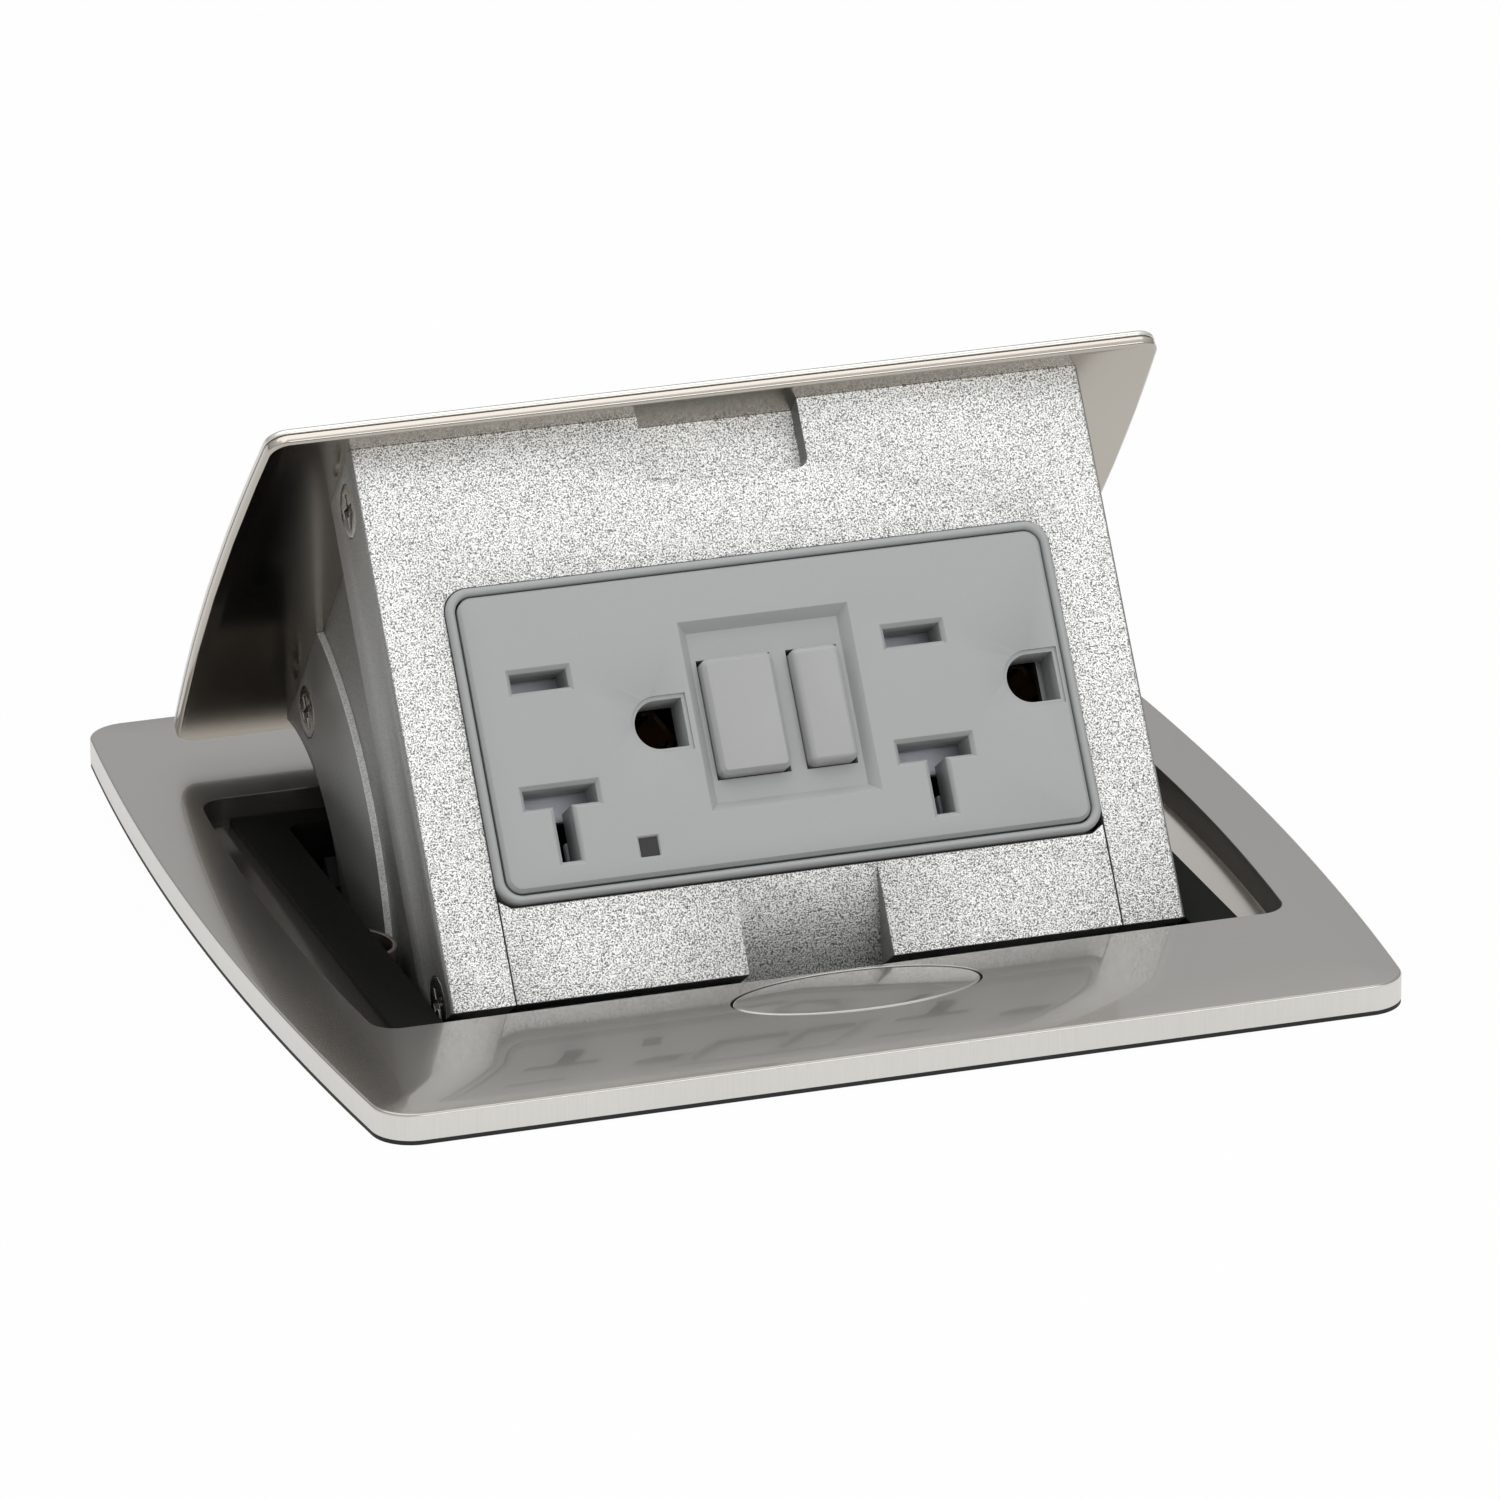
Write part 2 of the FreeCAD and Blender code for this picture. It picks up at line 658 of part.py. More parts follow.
def make_clip_strip(z0):
    """Bent strip seen from above: it leaves the liner, bows inwards and returns."""
    out = LINER_X + LINER_WALL + 0.3
    tip = ARC_X + CLIP_REACH
    wide = CLIP_SPAN
    bends = [(out, wide), (LINER_X - 0.4, wide - 0.8), (tip + 1.0, wide * 0.47), (tip, 0.0)]
    bends += [(tip + 0.8, wide * -0.47), (LINER_X - 0.6, 1.8 - wide), (out, 0.6 - wide)]
    curve = Part.BSplineCurve()
    curve.interpolate([V(x, CLIP_Y + y, z0) for x, y in bends])
    left = []
    right = []
    for k in range(CLIP_STEPS + 1):
        u = curve.FirstParameter
        u += (curve.LastParameter - curve.FirstParameter) * k / CLIP_STEPS
        point = curve.value(u)
        run = curve.tangent(u)[0]
        across = V(-run.y, run.x, 0) * (CLIP_T / 2)
        left.append(point + across)
        right.append(point - across)
    right.reverse()
    face = Part.Face(Part.makePolygon(left + right + [left[0]]))
    return face.extrude(V(0, 0, CLIP_H))


def make_clips():
    """Bent spring strips that steady the carriage, one in each side of the liner."""
    z0 = CLIP_Z - CLIP_H / 2
    x0 = LINER_X + LINER_WALL + RUN_CLEAR
    parts = [make_clip_strip(z0)]
    parts.append(box(x0, x0 + CLIP_T, CLIP_Y + CLIP_SPAN - 0.6, CLIP_Y + CLIP_SPAN + CLIP_FOOT,
                     z0, z0 + CLIP_H))
    parts.append(box(x0, x0 + CLIP_T, CLIP_Y - CLIP_SPAN - CLIP_FOOT, CLIP_Y - CLIP_SPAN + 1.1,
                     z0, z0 + CLIP_H))
    return pair(fuse(parts))


def make_bracket(side):
    """Upright that carries one end of the hinge shaft, with a foot on the box floor."""
    rear = PIVOT_Y + BRACKET_REAR
    pts = [(PIVOT_Y - 8.2, BOX_WALL), (rear, BOX_WALL), (rear, PIVOT_Z - 19.2)]
    pts += [(PIVOT_Y + BR_EAR, PIVOT_Z), (PIVOT_Y, PIVOT_Z), (PIVOT_Y - BR_EAR, PIVOT_Z)]
    pts += [(PIVOT_Y - 7.2, PIVOT_Z - 25.2)]
    plate = prism_yz(pts, BR_X0, BR_X1)
    plate = plate.fuse(cyl(BR_EAR, BR_T, V(BR_X0, PIVOT_Y, PIVOT_Z), AX_X))
    foot = box(BR_X0 - BR_FOOT, BR_X1, PIVOT_Y - 5.2, rear, BOX_WALL, BOX_WALL + BR_T)
    body = fuse([plate, foot])
    body = body.cut(cyl(SHAFT_R + SEAT_PLAY, BR_T + 2, V(BR_X0 - 1, PIVOT_Y, PIVOT_Z), AX_X))
    for y in BRACKET_SCREW_Y:
        body = body.cut(six(tight(BRACKET_SCREW), BR_T + 2, V(BRACKET_SCREW_X, y, BOX_WALL - 1)))
    body = body.cut(make_spring_rail())
    if side < 0:
        body = mirrored(body)
    return body


def make_spring_rail():
    """Square cross bar between the brackets that takes the fixed spring ends."""
    h = RAIL_HALF
    return box(-BR_X1, BR_X1, RAIL_Y - h, RAIL_Y + h, RAIL_Z - h, RAIL_Z + h)


def make_shaft():
    """Hinge shaft through both brackets and both hubs, with a head and a groove."""
    end = BR_X1 + SHAFT_END
    shaft = cyl(SHAFT_R, 2 * end, V(-end, PIVOT_Y, PIVOT_Z), AX_X)
    head = cyl(SHAFT_R + SHAFT_HEAD, SHAFT_HEAD_T, V(-end, PIVOT_Y, PIVOT_Z), AX_X)
    x0 = BR_X1 + RING_GAP - RUN_CLEAR
    groove = cyl(SHAFT_R + 1, RING_T + 2 * RUN_CLEAR, V(x0, PIVOT_Y, PIVOT_Z), AX_X)
    groove = groove.cut(cyl(SHAFT_R - RING_GROOVE, 2, V(x0 - 0.5, PIVOT_Y, PIVOT_Z), AX_X))
    return fuse([shaft, head]).cut(groove)


def make_retaining_ring():
    """Spring ring in the groove at the end of the hinge shaft."""
    x0 = BR_X1 + RING_GAP
    out = SHAFT_R + RING_PROUD
    ring = cyl(out, RING_T, V(x0, PIVOT_Y, PIVOT_Z), AX_X)
    ring = ring.cut(cyl(SHAFT_R - RING_GROOVE + SEAT_PLAY, 2, V(x0 - 0.5, PIVOT_Y, PIVOT_Z), AX_X))
    gap = box(x0 - 0.5, x0 + 1.5, PIVOT_Y - 1.3, PIVOT_Y + 1.3, PIVOT_Z - out - 1, PIVOT_Z)
    return ring.cut(gap)


def make_torsion_spring(side):
    """Coil around the shaft; one leg rests on the rail, the other tail is in the hub's slot."""
    leg_z = RAIL_Z + RAIL_HALF + SPRING_WIRE / 2
    path = [V(SPRING_X, RAIL_Y + 0.6, leg_z), V(SPRING_X, PIVOT_Y + SPRING_R, leg_z)]
    whole = 180.0 - TAIL_ANGLE + 360.0 * SPRING_TURNS
    count = int(COIL_STEPS * whole / 360.0)
    for k in range(count + 1):
        ang = math.radians(whole) * k / count
        path.append(V(SPRING_X + SPRING_L * k / count, PIVOT_Y + SPRING_R * math.cos(ang),
                      PIVOT_Z + SPRING_R * math.sin(ang)))
    a = math.radians(TAIL_ANGLE)
    bend = V(SPRING_X + SPRING_L, PIVOT_Y - TAIL_R * math.cos(a), PIVOT_Z + TAIL_R * math.sin(a))
    path += [bend, bend + V(SPRING_SIDE_GAP + TAIL_IN, 0, 0)]
    body = wire_along(path, SPRING_WIRE, 4)
    if side < 0:
        body = mirrored(body)
    return body


def make_stops():
    """Rubber blocks under the liner's rear collar that the arms meet when the lid is up."""
    rise = math.tan(math.radians(ARM_A1 + OPEN_RISE))
    front = LINER_Y1 - STOP_DEEP
    rear = LINER_Y1 + LINER_WALL
    pts = [(y, PIVOT_Z + (PIVOT_Y - y) * rise + STOP_GAP) for y in (front, rear)]
    pts += [(rear, COLLAR_Z), (LINER_Y1, COLLAR_Z), (front, COLLAR_Z - STOP_DEEP)]
    return pair(prism_yz(pts, SIDE_IN_X, ARC_X))


def make_latch_tray():
    """Open tray under the front strip that guides the bolt and holds the springs."""
    x = TRAY_HALF
    z0 = TRAY_Z0
    parts = [box(-x, x, TRAY_Y0, TRAY_Y1, z0, z0 + TRAY_FLOOR)]
    parts.append(box(-x, TRAY_WALL - x, TRAY_Y0, TRAY_Y1, z0, LEDGE_Z))
    parts.append(box(x - TRAY_WALL, x, TRAY_Y0, TRAY_Y1, z0, LEDGE_Z))
    parts.append(box(-x, x, TRAY_Y0, TRAY_Y0 + TRAY_FRONT, z0, LEDGE_Z))
    for s in LEFT_AND_RIGHT:
        rail = s * (BOLT_HALF_X - RAIL_IN)
        ear = s * LATCH_SCREW_X
        parts.append(box(rail - 1.1, rail + 1.1, TRAY_Y0, TRAY_Y1, z0, BOLT_Z0 - SEAT_CLEAR))
        parts.append(box(ear - EAR_HALF, ear + EAR_HALF, LATCH_SCREW_Y - 3.5, LATCH_SCREW_Y + 3.5,
                         LEDGE_Z - EAR_T, LEDGE_Z))
    body = fuse(parts)
    w = BOLT_HALF_X + SLOT_CLEAR
    body = body.cut(box(-w, w, TRAY_Y0 - 1, TRAY_Y0 + TRAY_FRONT + 0.3,
                        BOLT_Z0 - SLOT_CLEAR, BOLT_Z1 + SLOT_CLEAR))
    for s in LEFT_AND_RIGHT:
        body = body.cut(six(loose(LATCH_SCREW), EAR_T + 2,
                            V(s * LATCH_SCREW_X, LATCH_SCREW_Y, LEDGE_Z - EAR_T - 1)))
    return body


def stem_front(z):
    """Y of the wedge's sloping front face at height z."""
    return BTN_Y - STEM_FRONT + (BOLT_Z1 + WEDGE_START - z)


def make_button():
    """Oval button with the wedge stem that drives the bolt back."""
    cap = ellipse_prism(BTN_A - BTN_GAP, BTN_B - BTN_GAP, BTN_Y, CAP_Z0, TOP_Z)
    cap = chamfer_top(cap, CAP_EDGE)
    z1 = CAP_Z0 + 0.2
    z0 = BOLT_Z0 - STEM_LOW
    rear = BTN_Y + STEM_BACK
    stem = prism_yz([(stem_front(z1), z1), (rear, z1), (rear, z0), (stem_front(z0), z0)],
                    -STEM_HALF_X, STEM_HALF_X)
    peg_r = SPR_R - SMALL_WIRE - RUN_CLEAR
    pegs = [six(peg_r, 2.0, V(s * SPR_X, SPR_Y, CAP_Z0 - 1.8)) for s in LEFT_AND_RIGHT]
    return fuse([cap, stem] + pegs)


def make_button_springs():
    """Two coils that lift the oval button."""
    z0 = TRAY_Z0 + TRAY_FLOOR + SPRING_CLEAR
    z1 = CAP_Z0 - SPRING_CLEAR
    coils = [coil(SPR_R, SMALL_WIRE, z1 - z0, BTN_SPRING_TURNS, V(s * SPR_X, SPR_Y, z0), AX_Z)
             for s in LEFT_AND_RIGHT]
    return Part.makeCompound(coils)


def make_bolt():
    """Latch bolt: framed window for the wedge, two spring arms, sloped nose."""
    z0 = BOLT_Z0
    z1 = BOLT_Z1
    y0 = BTN_Y - BOLT_FRONT
    tip = BOLT_TIP_Y
    nose = [(y0, z0), (tip - 1.2, z0), (tip, z0 + 0.5), (tip, z1 - 1.4), (tip - 1.4, z1), (y0, z1)]
    body = prism_yz(nose, -BOLT_HALF_X, BOLT_HALF_X)
    arm = TRAY_HALF - TRAY_WALL - ARM_SIDE
    body = body.fuse(box(-arm, arm, ARM_Y0, ARM_Y1, z0, z1))
    back = BTN_Y + STEM_BACK + PRESS + WINDOW_CLEAR
    f0 = stem_front(z0 - 1) - WEDGE_GAP
    f1 = stem_front(z1 + 1) - WEDGE_GAP
    window = prism_yz([(f1, z1 + 1), (back, z1 + 1), (back, z0 - 1), (f0, z0 - 1)],
                      -STEM_HALF_X - WINDOW_CLEAR, STEM_HALF_X + WINDOW_CLEAR)
    return body.cut(window).removeSplitter()


def make_bolt_springs():
    """Two coils that push the bolt towards the carriage."""
    z = (BOLT_Z0 + BOLT_Z1) / 2
    y0 = TRAY_Y0 + TRAY_FRONT + WINDOW_CLEAR
    y1 = ARM_Y0 - WINDOW_CLEAR
    coils = [coil(SIDE_SPR_R, SMALL_WIRE, y1 - y0, BOLT_SPRING_TURNS, V(s * SIDE_SPR_X, y0, z), AX_Y)
             for s in LEFT_AND_RIGHT]
    return Part.makeCompound(coils)


def place(shape):
    """Turn a carriage piece to its raised position."""
    spin = FreeCAD.Rotation(AX_X, T_OPEN)
    shape.Placement = FreeCAD.Placement(V(0, PIVOT_Y, PIVOT_Z), spin).multiply(shape.Placement)
    return shape


def lid_sheet(z0, z1, inset):
    """One sheet of the lid, drawn level in the closed position."""
    return bowed_prism(LID_HALF_X - inset, LID_Y0 + inset, LID_Y1 - inset, LID_BOW, LID_CORNER,
                       z0, z1)


def from_closed(body):
    """Move a piece drawn level in the closed position to the carriage's axes."""
    body.translate(V(0, -PIVOT_Y, -PIVOT_Z))
    body.rotate(V(0, 0, 0), AX_X, -T_CLOSED)
    return body


def make_lid_skin():
    """Upper sheet of the lid with softened edges."""
    body = lid_sheet(TOP_Z - LID_SKIN_T, TOP_Z, 0)
    return from_closed(chamfer_top(body, SKIN_EDGE))


def make_lid_plate():
    """Lower plate of the lid, with a fine groove at the parting line."""
    top = TOP_Z - LID_SKIN_T
    body = chamfer_low(lid_sheet(TOP_Z - LID_T, top, 0), PLATE_EDGE)
    groove = lid_sheet(top - GROOVE_H, top, -1.0)
    groove = groove.cut(lid_sheet(top - 2 * GROOVE_H, top + GROOVE_H, GROOVE_DEEP))
    return from_closed(body.cut(groove))


def side_profile(b0, b1):
    """Outline in a and b between two distances, topped by the lid's underside."""
    return [(FACE_A0, b0), (FACE_A0, b1), (lid_a(b1), b1), (lid_a(b0), b0)]


def inner_profile(b0, b1):
    """The same outline, one lip's thickness smaller above and below."""
    low = FACE_A0 + LIP_T
    return [(low, b0), (low, b1), (lid_a(b1) - LIP_T, b1), (lid_a(b0) - LIP_T, b0)]


def sector(r0, r1, a0, a1, x0, x1):
    """Ring sector about the pivot between two angles above the b axis."""
    big = r1 * 2.2
    pts = [(0.0, 0.0)]
    steps = 6
    for k in range(steps + 1):
        ang = math.radians(a0 + (a1 - a0) * k / steps)
        pts.append((big * math.sin(ang), big * math.cos(ang)))
    wedge = prism_yz(pts, x0, x1)
    ring = cyl(r1, x1 - x0, V(x0, 0, 0), AX_X)
    if r0 > 0:
        ring = ring.cut(cyl(r0, x1 - x0 + 2, V(x0 - 1, 0, 0), AX_X))
    return ring.common(wedge)


def make_side():
    """Right side wall: flat plate, raised arc, arm and hub."""
    x0 = SIDE_IN_X
    reach = ARC_R_OUT + 2
    pts = [(FACE_A0, SIDE_FOOT_B), (FACE_A0, BAND_B), (lid_a(BAND_B), BAND_B)]
    pts += [(lid_a(2.0), 2.0), (2.0, 2.0), (0.0, SIDE_FOOT_B)]
    plate = prism_yz(pts, x0, SIDE_X)
    plate = plate.cut(cyl(ARC_R_IN, SIDE_T + 2, V(x0 - 1, 0, 0), AX_X))
    arc = sector(ARC_R_IN, ARC_R_OUT, ARM_A0, ARC_TOP, x0, ARC_X)
    arm = sector(0, ARC_R_IN + 0.5, ARM_A0, ARM_A1, x0, ARC_X)
    hub = cyl(HUB_R, ARC_X - x0, V(x0, 0, 0), AX_X)
    body = fuse([plate, arc, arm, hub])
    above = [(lid_a(-reach), -reach), (lid_a(FACE_B), FACE_B)]
    above += [(lid_a(FACE_B) + reach, FACE_B), (lid_a(FACE_B) + reach, -reach)]
    body = body.cut(prism_yz(above, x0 - 1, ARC_X + 1))
    body = body.cut(box(x0 - 1, ARC_X + 1, FACE_A0 - reach, FACE_A0, -reach, FACE_B))
    body = body.cut(cyl(SHAFT_R + RUN_CLEAR, 2 * SIDE_T, V(x0 - 1, 0, 0), AX_X))
    slot = sector(TAIL_R - TAIL_SLOT, TAIL_R + TAIL_SLOT, SLOT_A0, SLOT_A1,
                  x0 - 1, x0 + TAIL_IN + 0.7)
    return body.cut(slot)


def make_notch():
    """Finger notch in the upper edge of the face, its lower corners rounded."""
    notch = box(-NOTCH_HALF_X, NOTCH_HALF_X, NOTCH_LOW, NOTCH_LOW + 3 * NOTCH_H,
                FACE_B - NOTCH_D, FACE_B + 2)
    return round_edges(notch, NOTCH_R, lambda mid, step: upright(step) and mid.y < NOTCH_LOW + 1)


def make_window():
    """Opening in the face for the receptacle and the panel, its upper corners rounded."""
    top = REC_A + RIM_HALF_A
    window = box(-RIM_HALF_X, RIM_HALF_X, FACE_A0 - 1, top, FRAME_B0, FACE_B + 2)
    return round_edges(window, RIM_CORNER + SEAT_CLEAR,
                       lambda mid, step: upright(step) and mid.y > top - 1)


def make_carriage_frame():
    """Face with its side bands, stepped shoulders, side walls, arcs and hubs in one casting."""
    b0 = FACE_B - BAND_DEPTH
    shell = prism_yz(side_profile(b0, FACE_B), -FACE_HALF_X, FACE_HALF_X)
    shell = round_edges(shell, FACE_EDGE_R, lambda mid, step: mid.z > FACE_B - 0.01
                        and abs(mid.x) > FACE_HALF_X - 0.1)
    shell = shell.cut(prism_yz(inner_profile(BAND_B, FACE_B - FACE_T), -BAND_IN_X, BAND_IN_X))
    shell = shell.cut(prism_yz(inner_profile(b0 - 1, BAND_B + 1), -SIDE_IN_X, SIDE_IN_X))
    shell = shell.cut(make_window())
    pocket_x = NOTCH_HALF_X + LIP_T
    pocket = box(-pocket_x, pocket_x, NOTCH_LOW - LIP_T, lid_a(FACE_B - 6),
                 FACE_B - NOTCH_D - NOTCH_WALL, FACE_B - FACE_T + 0.01)
    shell = shell.fuse(pocket).cut(make_notch())
    right = make_side()
    lap = SIDE_IN_X + 0.5
    floor = box(-lap, lap, FACE_A0, FACE_A0 + LIP_T, FLOOR_LIP_B, b0 + 1.0)
    body = fuse([shell, right, mirrored(right), floor])
    for s in LEFT_AND_RIGHT:
        for x, a, b, size in SIDE_SCREWS:
            body = body.cut(screw_hole(s, x, a, b, size))
    return body.removeSplitter()


def screw_hole(s, x, a, b, size):
    """Stepped hole for a side screw: a seat for the head and a bore for the shank."""
    inwards = V(-s, 0, 0)
    seat = prism(HEAD_SIDES, size[0] + RUN_CLEAR, size[1] + 0.5, V(s * (x + 0.5), a, b), inwards)
    return seat.fuse(six(size[2], size[3] + 1, V(s * x, a, b), inwards))


def make_side_screws():
    """Cross-recess screws in the side bands and the raised arcs."""
    items = []
    for s in LEFT_AND_RIGHT:
        for x, a, b, size in SIDE_SCREWS:
            items.append(cross_screw(size, V(s * x, a, b), V(s, 0, 0)))
    return Part.makeCompound(items)


def make_tie_bar():
    """Round bar between the side walls, drilled for the rear screws."""
    bar = cyl(TIE_R, 2 * SIDE_IN_X, V(-SIDE_IN_X, REAR_SCREW_A, REAR_SCREW_B), AX_X)
    for s in LEFT_AND_RIGHT:
        start = V(s * (SIDE_IN_X + 1), REAR_SCREW_A, REAR_SCREW_B)
        bar = bar.cut(six(REAR_SCREW[2], REAR_SCREW[3] - 1.5, start, V(-s, 0, 0)))
    return bar


def make_inner_frame():
    """Flat ring behind the face that the strap and the panel are screwed to."""
    b0 = FRAME_B0
    b1 = STRAP_B
    x1 = BAND_IN_X - SEAT_CLEAR
    a0 = FACE_A0 + LIP_T + SEAT_CLEAR
    a1 = lid_a(b0) - LIP_T - SEAT_CLEAR
    body_x = BODY_HALF_X + 1.0
    body_low = REC_A - BODY_HALF_A
    ring = box(-x1, x1, a0, a1, b0, b1)
    ring = ring.cut(box(-body_x, body_x, body_low - 1.3, REC_A + BODY_HALF_A + 1.1, b0 - 1, b1 + 1))
    ramp_x = RAMP_HALF_X + 4.35
    ring = ring.cut(box(-ramp_x, ramp_x, a0 - 1, body_low + 0.3, b0 - 1, b1 + 1))
    parts = [ring]
    for low, high in ((BAND_SCREW_HIGH - 1.6, a1), (a0, BAND_SCREW_LOW + 2.4)):
        tab = box(x1 - 1.8, x1, low, high, b1 - 0.5, FACE_B - FACE_T - SEAT_CLEAR)
        parts += [tab, mirrored(tab)]
    body = fuse(parts)
    for s in LEFT_AND_RIGHT:
        for a in (BAND_SCREW_HIGH, BAND_SCREW_LOW):
            body = body.cut(six(BAND_SCREW[2], 8, V(s * (x1 + 1), a, BAND_SCREW_B), V(-s, 0, 0)))
        body = body.cut(six(tight(STRAP_SCREW), 8, V(s * STRAP_SCREW_X, REC_A, b0 - 1)))
        body = body.cut(six(tight(PANEL_SCREW), 8, V(s * PANEL_SCREW_X, PANEL_SCREW_A, b0 - 1)))
    return body


def make_panel():
    """Panel below the receptacle with the ramp pressed into its middle."""
    x1 = RIM_HALF_X - SEAT_CLEAR
    a1 = PANEL_A1 - SEAT_CLEAR
    plate = box(-x1, x1, FACE_A0, a1, FACE_B - FACE_T, FACE_B)
    n = PANEL_NICK
    for s in LEFT_AND_RIGHT:
        plate = plate.cut(box(s * x1 - n, s * x1 + n, a1 - n, a1 + n, FACE_B - 9, FACE_B + 1))
    wall = RAMP_HALF_X + RAMP_WALL
    parts = [plate, box(-wall, wall, FACE_A0, a1, FACE_B - RAMP_D - RAMP_WALL, FACE_B - 0.5)]
    for s in LEFT_AND_RIGHT:
        x = s * PANEL_SCREW_X
        parts.append(box(x - 3, x + 3, PANEL_SCREW_A - 3, PANEL_SCREW_A + 3, STRAP_B, FACE_B - 0.5))
    body = fuse(parts)
    top = FACE_B + 0.01
    low = FACE_A0 - 0.5
    ramp = [(a1 - 0.2, top), (low, FACE_B - RAMP_D), (low, top)]
    body = body.cut(prism_yz(ramp, -RAMP_HALF_X, RAMP_HALF_X))
    for s in LEFT_AND_RIGHT:
        body = body.cut(six(tight(PANEL_SCREW), 5, V(s * PANEL_SCREW_X, PANEL_SCREW_A, STRAP_B - 1)))
    return body


def rec_block(half_x, half_a, b0, b1, corner):
    """Block with rounded upright edges about the middle of the receptacle."""
    return rounded_box(-half_x, half_x, REC_A - half_a, REC_A + half_a, b0, b1, corner)


def make_rec_rim():
    """Outer rim of the receptacle, proud of the face with softened edges."""
    g = SEAT_CLEAR
    rim = rec_block(RIM_HALF_X - g, RIM_HALF_A - g, FACE_B - RIM_DEEP, RIM_B, RIM_CORNER)
    rim = rim.cut(rec_block(REC_HALF_X, REC_HALF_A, FACE_B - RIM_DEEP - 1, RIM_B + 1, REC_CORNER))
    return chamfer_top(rim, RIM_EDGE)


def slot_cut(x, a, w, h, b0, b1, bevel):
    """Slot through the face with sloped mouth edges."""
    hole = box(x - w / 2, x + w / 2, a - h / 2, a + h / 2, b0, b1 + 1)
    return hole.fuse(sloped_mouth(x, a, w / 2, h / 2, b1 - bevel, b1, bevel))


def sloped_mouth(x, a, half_x, half_a, b0, b1, grow):
    """Block that is larger at the top than at the bottom by grow on every side."""
    rings = []
    for b, g in ((b0, 0.0), (b1, grow)):
        hx = half_x + g
        ha = half_a + g
        pts = [V(x - hx, a - ha, b), V(x + hx, a - ha, b), V(x + hx, a + ha, b),
               V(x - hx, a + ha, b)]
        rings.append(Part.makePolygon(pts + [pts[0]]))
    return Part.makeLoft(rings, True, True)


def ground_hole(x, a, grow, b0, b1):
    """D-shaped hole: round towards the blades, flat on the far side."""
    r = GROUND_R + grow
    round_part = cyl(r, b1 - b0, V(x, a, b0))
    return round_part.fuse(box(x, x + GROUND_FLAT + grow, a - r, a + r, b0, b1))


def outlet_cuts(x, b0, b1):
    """All the openings of one outlet."""
    bevel = SLOT_BEVEL
    cuts = [slot_cut(x, REC_A + BLADE_A, SLOT_W, SLOT_H, b0, b1, bevel)]
    cuts.append(slot_cut(x, REC_A - BLADE_A, T_SLOT_W, SLOT_H, b0, b1, bevel))
    cuts.append(slot_cut(x, REC_A - BLADE_A - T_STEM_DROP, SLOT_H, T_STEM_H, b0, b1, bevel))
    gx = x + GROUND_DX
    cuts.append(ground_hole(gx, REC_A, 0, b0, b1 + 1))
    cuts.append(ground_hole(gx, REC_A, bevel, b1 - bevel * 0.6, b1 + 1))
    return cuts


def make_rec_face():
    """Grey inner face of the receptacle: outlets, sunken tray, lens hole."""
    g = FACE_CLEAR
    b0 = STRAP_B + STRAP_T + RUN_CLEAR
    body = rec_block(REC_HALF_X - g, REC_HALF_A - g, b0, COVER_B, REC_CORNER - g)
    body = chamfer_top(body, COVER_EDGE)
    s = TRAY_SLOPE
    body = body.cut(sloped_mouth(TRAY_X, REC_A + TRAY_RISE, TRAY_HALF_X - s, TRAY_HALF_A - s,
                                 COVER_B - TRAY_D, COVER_B, s))
    for x in OUTLET_X:
        for cut in outlet_cuts(x, b0 - 1, COVER_B):
            body = body.cut(cut)
    body = body.cut(slot_cut(LENS_X, REC_A - LENS_DROP, LENS_W, LENS_W, b0 - 1, COVER_B, 0.2))
    for x, w in REC_BUTTONS:
        hx = w / 2 + WEDGE_GAP
        ha = BTN_H / 2 + WEDGE_GAP
        body = body.cut(box(x - hx, x + hx, REC_A - ha, REC_A + ha, b0 - 1, COVER_B))
    return body


def make_rec_button(x, w):
    """Rectangular button with rounded edges and a collar that keeps it in."""
    hx = w / 2
    ha = BTN_H / 2
    cap = rounded_box(x - hx, x + hx, REC_A - ha, REC_A + ha, STRAP_B + STRAP_T - 0.3,
                      COVER_B + BTN_PROUD, BTN_CORNER)
    cap = chamfer_top(cap, BTN_CHAMFER)
    c = COLLAR
    collar = box(x - hx - c, x + hx + c, REC_A - ha - c, REC_A + ha + c,
                 STRAP_B + 0.25, STRAP_B + STRAP_T - RUN_CLEAR)
    return fuse([cap, collar])


def make_lens():
    """Small clear window of the indicator."""
    half = LENS_W / 2 - RUN_CLEAR
    a = REC_A - LENS_DROP
    return box(LENS_X - half, LENS_X + half, a - half, a + half, STRAP_B + STRAP_T + SEAT_CLEAR,
               COVER_B - FACE_CLEAR)


def make_strap():
    """Metal ring behind the receptacle's face with an ear at each end."""
    b1 = STRAP_B + STRAP_T
    x1 = BODY_HALF_X
    a1 = REC_HALF_A - 0.25
    ear = STRAP_SCREW_X + 2.2
    w = STRAP_BORDER
    ring = box(-x1, x1, REC_A - a1, REC_A + a1, STRAP_B, b1)
    body = fuse([ring, box(-ear, ear, REC_A - 6.5, REC_A + 6.5, STRAP_B, b1)])
    body = body.cut(box(w - x1, x1 - w, REC_A - a1 + w, REC_A + a1 - w, STRAP_B - 1, b1 + 1))
    for s in LEFT_AND_RIGHT:
        body = body.cut(six(loose(STRAP_SCREW), 4, V(s * STRAP_SCREW_X, REC_A, STRAP_B - 1)))
    return body


